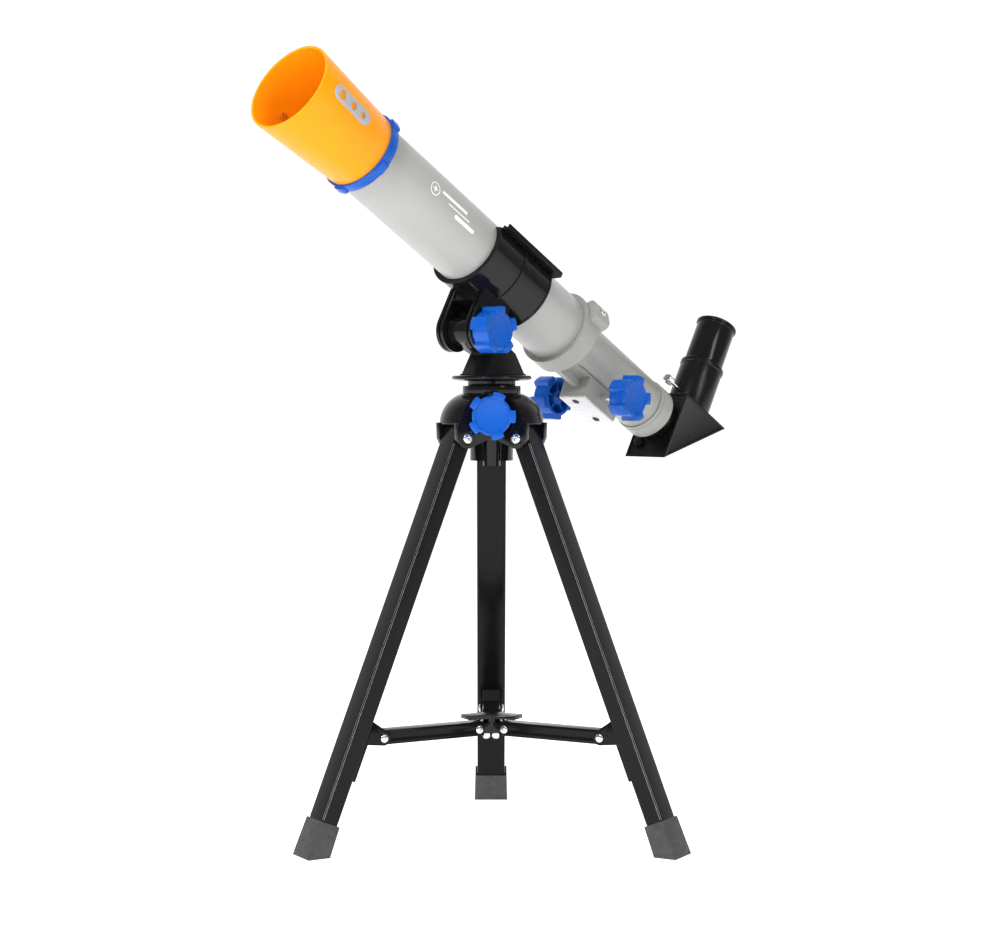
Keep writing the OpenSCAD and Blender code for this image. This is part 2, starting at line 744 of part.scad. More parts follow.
module arm(turn) leg_frame(turn) translate([0, 0, spreader_z]) difference() {
    translate([inner_r - end_in, -arm_w / 2, -arm_low])
        cube([outer_r - inner_r + end_in + end_out, arm_w, arm_h]);
    translate([inner_r - end_in - over, sheet - arm_w / 2, -arm_low - over])
        cube([outer_r - inner_r + end_in + end_out + 2 * over, arm_w - 2 * sheet, arm_h - sheet + over]);
    translate([inner_r, 0, 0]) rod_y(-arm_w, arm_w, rivet_r + fit);
    translate([outer_r, 0, 0]) rod_y(-arm_w, arm_w, rivet_r + fit);
}

// ---------- focuser ----------

collar_r = tube_r + collar_wall;
tube_stop = 2;      // the collar reaches this far past the end of the main tube
collar_s0 = -tube_rear - tube_stop;
collar_s1 = collar_s0 + collar_l;
sleeve_r = sleeve_d / 2;
draw_r = draw_d / 2;
draw_play = 0.15;
bore_r = draw_r + draw_play;
block_s0 = -pinion_s - block_l / 2 - 1;
cavity_floor = 8.2;   // the cover lies this far below the pinion axis
block_low = pinion_drop + cavity_floor;
cover_t = 1.7;
gear_teeth = 14;
gear_pitch_r = 7;
gear_w = 5.6;
gear_side = 0.5;    // room beside the pinion
tooth_add = 0.85;
tooth_ded = 1.1;
tooth_tip = 0.32;   // half width of a tooth at its tip
tooth_foot = 1.05;  // and at its foot
gear_tip_r = gear_pitch_r + tooth_add;
tooth_root_r = gear_pitch_r - tooth_ded - gap;
rack_w = 6;
rack_s1 = -85;
rack_s0 = -148;
rack_line = pinion_drop - gear_pitch_r;
boss_turn = 58;
boss_w = 17;
cover_screw_s = [-pinion_s + 12, -pinion_s - 14];
cover_screw_r = 2.7;
cover_head_t = 0.9;
cover_screw_l = 5;
screw_hole_l = 8;
boss_s = collar_s0 - 3;
boss_out = 5.5;     // top of the collar's boss above the collar
boss_screw_s = collar_s0 + 5;
boss_screw_t = 1.4;
boss_screw_bite = 2;
key_gap = 0.2;
cavity_r = gear_tip_r + 1;

module focuser_body() color("gainsboro") tube_frame() difference() {
    union() {
        rod_x(collar_s0, collar_s1, collar_r);
        rod_x(-sleeve_end, collar_s1 - over, sleeve_r);
        translate([block_s0, -block_w / 2, -block_low]) cube([block_l, block_w, block_low - bore_r / 2]);
        rotate([-boss_turn, 0, 0]) translate([boss_s, -boss_w / 2, 0])
            cube([collar_s1 - over - boss_s, boss_w, collar_r + boss_out]);
    }
    rod_x(-tube_rear, collar_s1 + over, tube_r + fit);
    rod_x(-sleeve_end - over, collar_s1, bore_r);
    // keyway for the rack
    translate([-sleeve_end - over, -rack_w / 2 - key_gap, -rack_line - tooth_add - 2 * key_gap])
        cube([sleeve_end + collar_s0 + 4 * over, rack_w + 2 * key_gap, rack_line]);
    // pinion chamber and shaft bore
    translate([-pinion_s, 0, -pinion_drop]) {
        rod_y(-gear_w / 2 - gear_side, gear_w / 2 + gear_side, cavity_r);
        rod_y(-block_w, block_w, shaft_r + fit);
    }
    translate([-pinion_s - cavity_r, -gear_w / 2 - gear_side, -block_low - over])
        cube([2 * cavity_r, gear_w + 2 * gear_side, over + cavity_floor]);
    for (s = cover_screw_s) translate([s, 0, -block_low - over])
        cylinder(h = screw_hole_l, r = screw_r - skin, $fn = small_fn);
    rotate([-boss_turn, 0, 0]) translate([boss_screw_s, 0, collar_r - boss_screw_bite])
        cylinder(h = 2 * screw_hole_l, r = screw_r, $fn = small_fn);
}

module focuser_screw() color("silver") tube_frame() rotate([-boss_turn, 0, 0])
    translate([boss_screw_s, 0, collar_r]) {
        cylinder(h = boss_out + lap, r = screw_r - skin, $fn = small_fn);
        translate([0, 0, boss_out]) cylinder(h = boss_screw_t, r = screw_head_r, $fn = small_fn);
    }

module pinion_cover() color("gainsboro") tube_frame() difference() {
    translate([block_s0, -block_w / 2, -block_low - cover_t]) cube([block_l, block_w, cover_t]);
    for (s = cover_screw_s) translate([s, 0, -block_low - cover_t - over])
        cylinder(h = cover_t + 2 * over, r = screw_r + fit, $fn = small_fn);
}

module cover_screws() color("dimgray") tube_frame() for (s = cover_screw_s)
    translate([s, 0, -block_low - cover_t]) {
        cylinder(h = cover_t + cover_screw_l, r = screw_r - 2 * skin, $fn = small_fn);
        translate([0, 0, -cover_head_t]) cylinder(h = cover_head_t, r = cover_screw_r, $fn = small_fn);
    }

module pinion_shaft() color("silver") tube_frame() translate([-pinion_s, 0, -pinion_drop])
    rod_y(knob_cap - knob_span / 2, knob_span / 2 - knob_cap, shaft_r);

// Spur gear with straight-sided teeth, one tooth pointing up at the rack
module pinion() color("white") tube_frame() translate([-pinion_s, 0, -pinion_drop])
    rotate([90, 0, 0]) translate([0, 0, -gear_w / 2]) difference() {
        union() {
            cylinder(h = gear_w, r = gear_pitch_r - tooth_ded);
            for (i = [0 : gear_teeth - 1]) rotate([0, 0, 90 + i * 360 / gear_teeth])
                linear_extrude(gear_w) polygon([[tooth_root_r, -tooth_foot], [gear_tip_r, -tooth_tip],
                    [gear_tip_r, tooth_tip], [tooth_root_r, tooth_foot]]);
        }
        translate([0, 0, -over]) cylinder(h = gear_w + 2 * over, r = shaft_r + skin);
    }

right_knob_turn = 152;
left_knob_turn = 28;

module focus_knob_right() color("royalblue") tube_frame()
    translate([-pinion_s, knob_span / 2 - knob_t, -pinion_drop]) rotate([-90, 0, 0])
        knob(shaft_r, right_knob_turn);

module focus_knob_left() color("royalblue") tube_frame()
    translate([-pinion_s, knob_t - knob_span / 2, -pinion_drop]) rotate([90, 0, 0])
        knob(shaft_r, left_knob_turn);

draw_s1 = -tube_rear + 8;
rack_base = 1.4;
rack_tip = 0.35;    // half width of a rack tooth at its tip
rack_foot = 0.95;   // and at its foot

module drawtube() color("gainsboro") tube_frame() difference() {
    ring_x(-sleeve_end, draw_s1, draw_r, draw_r - draw_wall);
    translate([rack_s0, -rack_w / 2 - skin, -2 * draw_r])
        cube([rack_s1 - rack_s0, rack_w + 2 * skin, 2 * draw_r]);
}

pitch = 2 * PI * gear_pitch_r / gear_teeth;

// Rack in a slot of the drawtube; a gap between two teeth faces the pinion's top tooth
module focus_rack() color("white") tube_frame() {
    root = rack_line - tooth_ded;
    count = floor((rack_s1 - rack_s0) / pitch);
    shift = -pinion_s - pitch * (floor((-pinion_s - rack_s0) / pitch) - 0.5);
    translate([rack_s0, -rack_w / 2, -root]) cube([rack_s1 - rack_s0, rack_w, rack_base]);
    slab_y(-rack_w / 2, rack_w / 2) for (i = [0 : count - 1]) translate([shift + i * pitch, -root])
        if (shift + i * pitch + over < rack_s1) polygon([[-rack_foot, lap], [rack_foot, lap],
            [rack_tip, -tooth_ded - tooth_add], [-rack_tip, -tooth_ded - tooth_add]]);
}

holder_s1 = -sleeve_end - gap;
spigot_l = 12;
holder_s0 = holder_s1 - holder_l;
socket_r = barrel_d / 2;

module eyepiece_holder() color("gainsboro") tube_frame() difference() {
    union() {
        rod_x(holder_s0, holder_s1, holder_d / 2);
        rod_x(holder_s1 - over, holder_s1 + spigot_l, draw_r - draw_wall - skin);
    }
    rod_x(holder_s0 - over, holder_s1 + spigot_l + over, socket_r + fit);
}

// ---------- diagonal ----------

diag_s = holder_s0 - diag_gap;
mirror_t = 1.6;
mirror_inset = diag_wall * sqrt(2) + mirror_t;
axis_s = diag_s - diag_h + diag_top + mirror_inset;
nose_l = 12;
nose_wall = 1.5;
shoulder_r = 15;
shoulder_gap = 0.2;
socket_rim_h = 2.5;
socket_rim = 1.2;
stud = [-10.2, -18.8];   // round stud on the front, across and up
stud_r = 3.8;
stud_l = 2.2;
hatch_end = 6;      // solid ends of the sloping back beside its cover
hatch_l = diag_h * sqrt(2) - 2 * hatch_end;
cover_gap = 0.1;
mirror_w = 26;
mirror_end = 12;
thumb_rise = 9.5;   // thumb screw above the top of the diagonal
thumb_tip = 0.25;
thumb_shank = 10.5;
thumb_l = 7.5;
thumb_r = 3.5;

module diagonal_outline(inset) {
    slope = inset * (1 + sqrt(2));
    polygon([[diag_s - inset, diag_top - inset], [diag_s - inset, diag_top - diag_h + slope],
        [diag_s - diag_h + slope, diag_top - inset]]);
}

module diagonal_housing() color("black") tube_frame() difference() {
    union() {
        difference() {
            slab_y(-diag_w / 2, diag_w / 2) diagonal_outline(0);
            slab_y(diag_wall - diag_w / 2, diag_w / 2 - diag_wall) diagonal_outline(diag_wall);
            diagonal_back() translate([0, diag_wall - diag_w / 2, -over])
                cube([hatch_l, diag_w - 2 * diag_wall, diag_wall + 2 * over]);
        }
        rod_x(diag_s - over, holder_s0 - shoulder_gap, shoulder_r);
        rod_x(diag_s, holder_s0 + nose_l, socket_r);
        translate([axis_s, 0, diag_top - over]) cylinder(h = socket_l + over, d = socket_d);
        translate([axis_s, 0, diag_top + socket_l - socket_rim_h])
            cylinder(h = socket_rim_h, d = socket_d + socket_rim);
        translate([diag_s, stud[0], stud[1]]) rod_x(-over, stud_l, stud_r);
    }
    rod_x(diag_s - diag_wall - over, holder_s0 + nose_l + over, socket_r - nose_wall);
    translate([axis_s, 0, diag_top - diag_wall - over])
        cylinder(h = socket_l + diag_wall + 2 * over, r = socket_r + fit);
    translate([axis_s + socket_r - over, 0, diag_top + thumb_rise]) rod_x(0, 2 * socket_d, screw_r + fit);
}

// On the sloping back of the diagonal: X runs up the slope, Z points inwards
module diagonal_back() {
    translate([diag_s, 0, diag_top - diag_h]) rotate([0, -135, 0]) translate([hatch_end, 0, 0])
        mirror([0, 0, 1]) children();
}

module diagonal_cover() color("black") tube_frame() diagonal_back()
    translate([2 * cover_gap, diag_wall + cover_gap - diag_w / 2, 0])
        cube([hatch_l - 4 * cover_gap, diag_w - 2 * (diag_wall + cover_gap), diag_wall]);

module diagonal_mirror() color("white") tube_frame() diagonal_back()
    translate([mirror_end, -mirror_w / 2, diag_wall]) cube([hatch_l - 2 * mirror_end, mirror_w, mirror_t]);

module thumb_screw() color("silver") tube_frame() translate([axis_s, 0, diag_top + thumb_rise]) {
    rod_x(socket_r + thumb_tip, socket_d / 2 + thumb_shank + lap, screw_r);
    rod_x(socket_d / 2 + thumb_shank, socket_d / 2 + thumb_shank + thumb_l, thumb_r);
}

// ---------- eyepiece ----------

eye_z0 = diag_top + socket_l;
eye_r = eyepiece_d / 2;
barrel_l = 24;
barrel_wall = 1;
barrel_in = 6;      // the barrel reaches this far up into the body
body_seat = 0.1;
body_wall = 2.5;
rim_t = 3;
rim_out = 1;
eye_hole_r = 7;
dish_r = 12;
dish_z = 1.6;
lens_seat_z = [9, eyepiece_l - rim_t - 4];
lens_h = 3.4;
small_lens_ball_r = 26;

module eyepiece_barrel() color("silver") tube_frame() translate([axis_s, 0, eye_z0 - barrel_l])
    difference() {
        cylinder(h = barrel_l + barrel_in, r = socket_r);
        translate([0, 0, -over]) cylinder(h = barrel_l + barrel_in + 2 * over, r = socket_r - barrel_wall);
    }

module eyepiece_body() color("black") tube_frame() translate([axis_s, 0, eye_z0 + body_seat]) difference() {
    cylinder(h = eyepiece_l - rim_t - body_seat, r = eye_r);
    translate([0, 0, -over]) cylinder(h = barrel_in + 2 * over - body_seat, r = socket_r + skin);
    translate([0, 0, -over]) cylinder(h = eyepiece_l + over, r = socket_r - body_wall);
}

module eye_cap() color("black") tube_frame() translate([axis_s, 0, eye_z0 + eyepiece_l - rim_t])
    difference() {
        cylinder(h = rim_t, r = eye_r + rim_out);
        translate([0, 0, -over]) cylinder(h = rim_t + 2 * over, r = eye_hole_r);
        translate([0, 0, dish_z]) cylinder(h = rim_t, r1 = eye_hole_r, r2 = dish_r);
    }

// Field lens and eye lens
module eyepiece_lenses() color("lightblue") tube_frame() translate([axis_s, 0, eye_z0]) {
    for (z = lens_seat_z) translate([0, 0, z]) intersection() {
        cylinder(h = lens_h, r = socket_r - body_wall - fit);
        translate([0, 0, lens_h - small_lens_ball_r]) sphere(r = small_lens_ball_r);
    }
}

dew_shield();
side_plates();
side_plate_screws();
lens_ring();
lens_cell();
objective_lens();
lens_retainer();
main_tube();
tube_baffle();
cradle();
cradle_screws();
altitude_bolt();
altitude_knob();
azimuth_base();
azimuth_retainer();
tripod_head();
azimuth_knob();
azimuth_clamp_screw();
leg_pivot_screws();
color("black") leg(LEFT);  // leg_left
color("black") leg(RIGHT);  // leg_right
color("black") leg(REAR);  // leg_rear
color("dimgray") foot(LEFT);  // foot_left
color("dimgray") foot(RIGHT);  // foot_right
color("dimgray") foot(REAR);  // foot_rear
color("black") bracket(LEFT);  // bracket_left
color("black") bracket(RIGHT);  // bracket_right
color("black") bracket(REAR);  // bracket_rear
color("silver") leg_rivets(LEFT);  // rivets_left
color("silver") leg_rivets(RIGHT);  // rivets_right
color("silver") leg_rivets(REAR);  // rivets_rear
spreader_hub();
hub_rivets();
color("black") arm(LEFT);  // arm_left
color("black") arm(RIGHT);  // arm_right
color("black") arm(REAR);  // arm_rear
focuser_body();
focuser_screw();
pinion_cover();
cover_screws();
pinion_shaft();
pinion();
focus_knob_right();
focus_knob_left();
drawtube();
focus_rack();
eyepiece_holder();
diagonal_housing();
diagonal_cover();
diagonal_mirror();
thumb_screw();
eyepiece_barrel();
eyepiece_body();
eye_cap();
eyepiece_lenses();
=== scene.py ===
"""Looks of a small refracting telescope on a folding table tripod.

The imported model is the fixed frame. Each sub-assembly below is a class: its fields are sizes in
millimetres, and its methods make the visible pieces in the frame's own axes and dress them.
"""

import json
import logging
import math
from dataclasses import dataclass, field
from enum import Enum
from typing import Callable, Iterable, Sequence

import bpy
from mathutils import Matrix, Vector

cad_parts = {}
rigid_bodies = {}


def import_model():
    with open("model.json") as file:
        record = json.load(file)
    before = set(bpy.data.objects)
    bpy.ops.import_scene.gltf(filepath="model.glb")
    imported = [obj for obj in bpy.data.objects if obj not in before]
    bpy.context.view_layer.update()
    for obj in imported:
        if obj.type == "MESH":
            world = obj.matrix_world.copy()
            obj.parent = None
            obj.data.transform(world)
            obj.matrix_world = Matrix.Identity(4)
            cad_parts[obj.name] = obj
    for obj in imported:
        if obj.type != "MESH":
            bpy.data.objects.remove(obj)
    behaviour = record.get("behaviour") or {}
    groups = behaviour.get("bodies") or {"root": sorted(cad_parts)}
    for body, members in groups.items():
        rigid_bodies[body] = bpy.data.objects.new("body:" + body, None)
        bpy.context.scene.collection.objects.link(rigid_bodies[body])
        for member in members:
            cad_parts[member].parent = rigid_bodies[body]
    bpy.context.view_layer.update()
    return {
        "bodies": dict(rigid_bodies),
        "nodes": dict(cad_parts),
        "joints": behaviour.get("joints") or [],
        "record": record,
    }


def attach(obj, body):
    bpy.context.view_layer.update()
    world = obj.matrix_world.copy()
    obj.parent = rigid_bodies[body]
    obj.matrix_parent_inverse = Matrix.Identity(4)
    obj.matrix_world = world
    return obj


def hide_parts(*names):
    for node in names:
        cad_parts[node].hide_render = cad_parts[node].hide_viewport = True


MM = 0.001
LOG = logging.getLogger("telescope")
Point = tuple[float, float]
Piece = bpy.types.Object


# ---------------------------------------------------------------- finishes


class Tone(Enum):
    """Base colours, linear RGB."""

    ORANGE = (0.95, 0.315, 0.003)
    BLUE = (0.002, 0.082, 0.43)
    PALE_GREY = (0.295, 0.30, 0.278)
    TUBE_GREY = (0.355, 0.36, 0.345)
    PLATE_GREY = (0.38, 0.39, 0.41)
    COVER_WHITE = (0.62, 0.62, 0.64)
    BLACK = (0.0060, 0.0055, 0.0065)
    ENAMEL = (0.0050, 0.0045, 0.0055)
    INNER_BLACK = (0.010, 0.010, 0.010)
    RUBBER = (0.045, 0.045, 0.048)
    ZINC = (0.78, 0.78, 0.78)
    CHROME = (0.86, 0.86, 0.86)
    BLUED = (0.05, 0.05, 0.055)
    # painted highlight: bright metal colour for the leg corner beads, standing in for light caught on the corners
    EDGE = (0.62, 0.62, 0.64)
    NYLON = (0.78, 0.77, 0.72)
    PRINT_WHITE = (0.82, 0.83, 0.82)
    FLOOR = (0.93, 0.93, 0.93)


class Graph:
    """A material's nodes, added one after another."""

    def __init__(self, name: str) -> None:
        """Starts a material with a single shader.

        Args:
            name: the material's name.
        """
        self.material = bpy.data.materials.new(name)
        self.material.use_nodes = True
        self.tree = self.material.node_tree
        self.shader = self.tree.nodes["Principled BSDF"]
        self.place = self.add("ShaderNodeTexCoord").outputs["Object"]

    def add(self, kind: str, **values: object) -> bpy.types.Node:
        """Adds a node and sets its properties and inputs.

        Args:
            kind: the node's type.
            values: property names, or input names with spaces written as underscores.

        Returns:
            The new node.
        """
        node = self.tree.nodes.new(kind)
        for key, value in values.items():
            if hasattr(node, key):
                setattr(node, key, value)
            else:
                node.inputs[key.replace("_", " ")].default_value = value
        return node

    def link(self, source: bpy.types.NodeSocket, target: bpy.types.NodeSocket) -> None:
        """Joins two sockets."""
        self.tree.links.new(source, target)

    def noise(self, scale: float, detail: float = 3.0, stretch: Sequence[float] = (1, 1, 1)) -> bpy.types.NodeSocket:
        """Noise on the piece's own coordinates.

        Args:
            scale: features per metre.
            detail: octaves of finer noise.
            stretch: how much finer it is along each axis.

        Returns:
            The noise value, 0 to 1.
        """
        mapping = self.add("ShaderNodeMapping")
        mapping.inputs["Scale"].default_value = stretch
        self.link(self.place, mapping.inputs["Vector"])
        noise = self.add("ShaderNodeTexNoise", Scale=scale, Detail=detail)
        self.link(mapping.outputs["Vector"], noise.inputs["Vector"])
        return noise.outputs["Fac"]

    def span(self, value: bpy.types.NodeSocket, low: float, high: float) -> bpy.types.NodeSocket:
        """Stretches the middle of a noise to a range.

        Args:
            value: the noise.
            low: result at a low value.
            high: result at a high value.

        Returns:
            The stretched value.
        """
        ramp = self.add("ShaderNodeMapRange", From_Min=0.3, From_Max=0.7, To_Min=low, To_Max=high)
        self.link(value, ramp.inputs["Value"])
        return ramp.outputs["Result"]

    def tint(self, value: bpy.types.NodeSocket, tone: Tone, spread: float) -> None:
        """Colours the shader with a tone that drifts a little lighter and darker.

        Args:
            value: the noise that the drift follows.
            tone: the middle colour.
            spread: how far it drifts, as a share.
        """
        mix = self.add("ShaderNodeMix", data_type="RGBA")
        dark = [c * (1 - spread) for c in tone.value]
        light = [min(1.0, c * (1 + spread)) for c in tone.value]
        mix.inputs["A"].default_value = (*dark, 1)
        mix.inputs["B"].default_value = (*light, 1)
        self.link(self.span(value, 0, 1), mix.inputs["Factor"])
        self.link(mix.outputs["Result"], self.shader.inputs["Base Color"])

    def bump(self, layers: Iterable[tuple[bpy.types.NodeSocket, float]]) -> None:
        """Gives the surface relief.

        Args:
            layers: a noise and its height in millimetres, for each layer.
        """
        normal = None
        for value, height in layers:
            relief = self.add("ShaderNodeBump", Strength=1.0, Distance=height * MM)
            self.link(value, relief.inputs["Height"])
            if normal is not None:
                self.link(normal, relief.inputs["Normal"])
            normal = relief.outputs["Normal"]
        if normal is not None:
            self.link(normal, self.shader.inputs["Normal"])


@dataclass(frozen=True)
class Plastic:
    """Moulded plastic: even colour, faint flow marks and a fine skin."""

    name: str
    tone: Tone
    gloss: tuple[float, float] = (0.28, 0.36)
    drift: float = 0.05
    skin: float = 0.004
    flow: float = 0.02
    coat: float = 0.0
    specular: float = 0.5

    def make(self) -> bpy.types.Material:
        """Builds the material."""
        graph = Graph(self.name)
        graph.tint(graph.noise(38, 2), self.tone, self.drift)
        rough = graph.span(graph.noise(160, 4), *self.gloss)
        graph.link(rough, graph.shader.inputs["Roughness"])
        graph.shader.inputs["Specular IOR Level"].default_value = self.specular
        graph.shader.inputs["Coat Weight"].default_value = self.coat
        graph.shader.inputs["Coat Roughness"].default_value = 0.12
        graph.bump([(graph.noise(60, 2), self.flow), (graph.noise(2600, 2), self.skin)])
        return graph.material


@dataclass(frozen=True)
class Paint:
    """Sprayed paint or enamel on metal: a soft orange-peel skin under a thin coat."""

    name: str
    tone: Tone
    gloss: tuple[float, float] = (0.30, 0.38)
    peel: float = 0.006
    wave: float = 0.03
    coat: float = 0.25
    drift: float = 0.03
    specular: float = 0.5

    def make(self) -> bpy.types.Material:
        """Builds the material."""
        graph = Graph(self.name)
        graph.tint(graph.noise(20, 3), self.tone, self.drift)
        graph.link(graph.span(graph.noise(90, 4), *self.gloss), graph.shader.inputs["Roughness"])
        graph.shader.inputs["Specular IOR Level"].default_value = self.specular
        graph.shader.inputs["Coat Weight"].default_value = self.coat
        graph.shader.inputs["Coat Roughness"].default_value = 0.1
        graph.bump([(graph.noise(14, 1), self.wave), (graph.noise(900, 2), self.peel)])
        return graph.material


@dataclass(frozen=True)
class Metal:
    """Bare or plated metal with fine drawn scratches."""

    name: str
    tone: Tone
    gloss: tuple[float, float] = (0.16, 0.30)
    scratch: float = 0.004
    grain: tuple[float, float, float] = (1, 1, 9)

    def make(self) -> bpy.types.Material:
        """Builds the material."""
        graph = Graph(self.name)
        graph.shader.inputs["Metallic"].default_value = 1.0
        graph.tint(graph.noise(420, 3), self.tone, 0.08)
        lines = graph.noise(700, 5, self.grain)
        graph.link(graph.span(lines, *self.gloss), graph.shader.inputs["Roughness"])
        graph.bump([(lines, self.scratch)])
        return graph.material


@dataclass(frozen=True)
class Rubber:
    """Dull moulded rubber with a dusty grain."""

    name: str
    tone: Tone
    gloss: tuple[float, float] = (0.50, 0.66)
    grain: float = 0.03

    def make(self) -> bpy.types.Material:
        """Builds the material."""
        graph = Graph(self.name)
        graph.tint(graph.noise(240, 5), self.tone, 0.22)
        graph.link(graph.span(graph.noise(420, 4), *self.gloss), graph.shader.inputs["Roughness"])
        graph.bump([(graph.noise(1500, 4), self.grain)])
        return graph.material


@dataclass(frozen=True)
class Glass:
    """Clear coated optical glass."""

    name: str
    tint: tuple[float, float, float] = (0.88, 0.96, 0.97)
    roughness: float = 0.02

    def make(self) -> bpy.types.Material:
        """Builds the material."""
        graph = Graph(self.name)
        graph.shader.inputs["Base Color"].default_value = (*self.tint, 1)
        graph.shader.inputs["Transmission Weight"].default_value = 1.0
        graph.shader.inputs["Roughness"].default_value = self.roughness
        graph.shader.inputs["IOR"].default_value = 1.52
        graph.bump([(graph.noise(30, 1), 0.001)])
        return graph.material


class Finish(Enum):
    """Every finish on the telescope."""

    ORANGE = Plastic("orange_moulding", Tone.ORANGE, (0.26, 0.34), 0.03, flow=0.006, specular=0.2)
    BLUE = Plastic("blue_moulding", Tone.BLUE, (0.24, 0.32), 0.05, flow=0.005, specular=0.3)
    PALE = Plastic("pale_grey_moulding", Tone.PALE_GREY, (0.32, 0.42), 0.03, flow=0.006)
    COVER = Plastic("cover_moulding", Tone.COVER_WHITE, (0.24, 0.32), 0.02)
    PLATE = Plastic("side_plate_moulding", Tone.PLATE_GREY, (0.36, 0.46), 0.04, skin=0.008)
    BLACK = Plastic("black_moulding", Tone.BLACK, (0.22, 0.30), 0.10, skin=0.001, flow=0.004, specular=0.28)
    GLOSS_BLACK = Plastic("gloss_black_moulding", Tone.BLACK, (0.12, 0.18), 0.10, skin=0.001, flow=0.004,
                          specular=0.28)
    INNER = Plastic("inner_black", Tone.INNER_BLACK, (0.55, 0.70), 0.10, skin=0.02)
    TUBE = Paint("tube_paint", Tone.TUBE_GREY, (0.30, 0.38), coat=0.1, wave=0.006, peel=0.003)
    ENAMEL = Paint("leg_enamel", Tone.ENAMEL, (0.15, 0.21), coat=0.0, wave=0.003, peel=0.001, specular=0.15)
    PRINT = Plastic("white_print", Tone.PRINT_WHITE, (0.45, 0.55), 0.02, skin=0.001, flow=0.0)
    RUBBER = Rubber("foot_rubber", Tone.RUBBER)
    ZINC = Metal("zinc_plate", Tone.ZINC)
    CHROME = Metal("bright_chrome", Tone.CHROME, (0.06, 0.14), 0.002)
    BLUED = Metal("blackened_steel", Tone.BLUED, (0.28, 0.42))
    # painted highlight: the leg corner beads' bright metal, standing in for light caught on the rounded corners
    EDGE = Metal("painted_highlight_metal", Tone.EDGE, (0.30, 0.42))
    MIRROR = Metal("front_mirror", Tone.CHROME, (0.01, 0.03), 0.0)
    NYLON = Plastic("natural_nylon", Tone.NYLON, (0.35, 0.45), 0.04)
    GLASS = Glass("coated_glass")


class Paintbox:
    """Makes each finish once and hands out the same material after that."""

    def __init__(self) -> None:
        """Starts with no material made."""
        self._made: dict[Finish, bpy.types.Material] = {}

    def get(self, finish: Finish) -> bpy.types.Material:
        """The material of a finish."""
        if finish not in self._made:
            self._made[finish] = finish.value.make()
        return self._made[finish]


# ---------------------------------------------------------------- hand tools


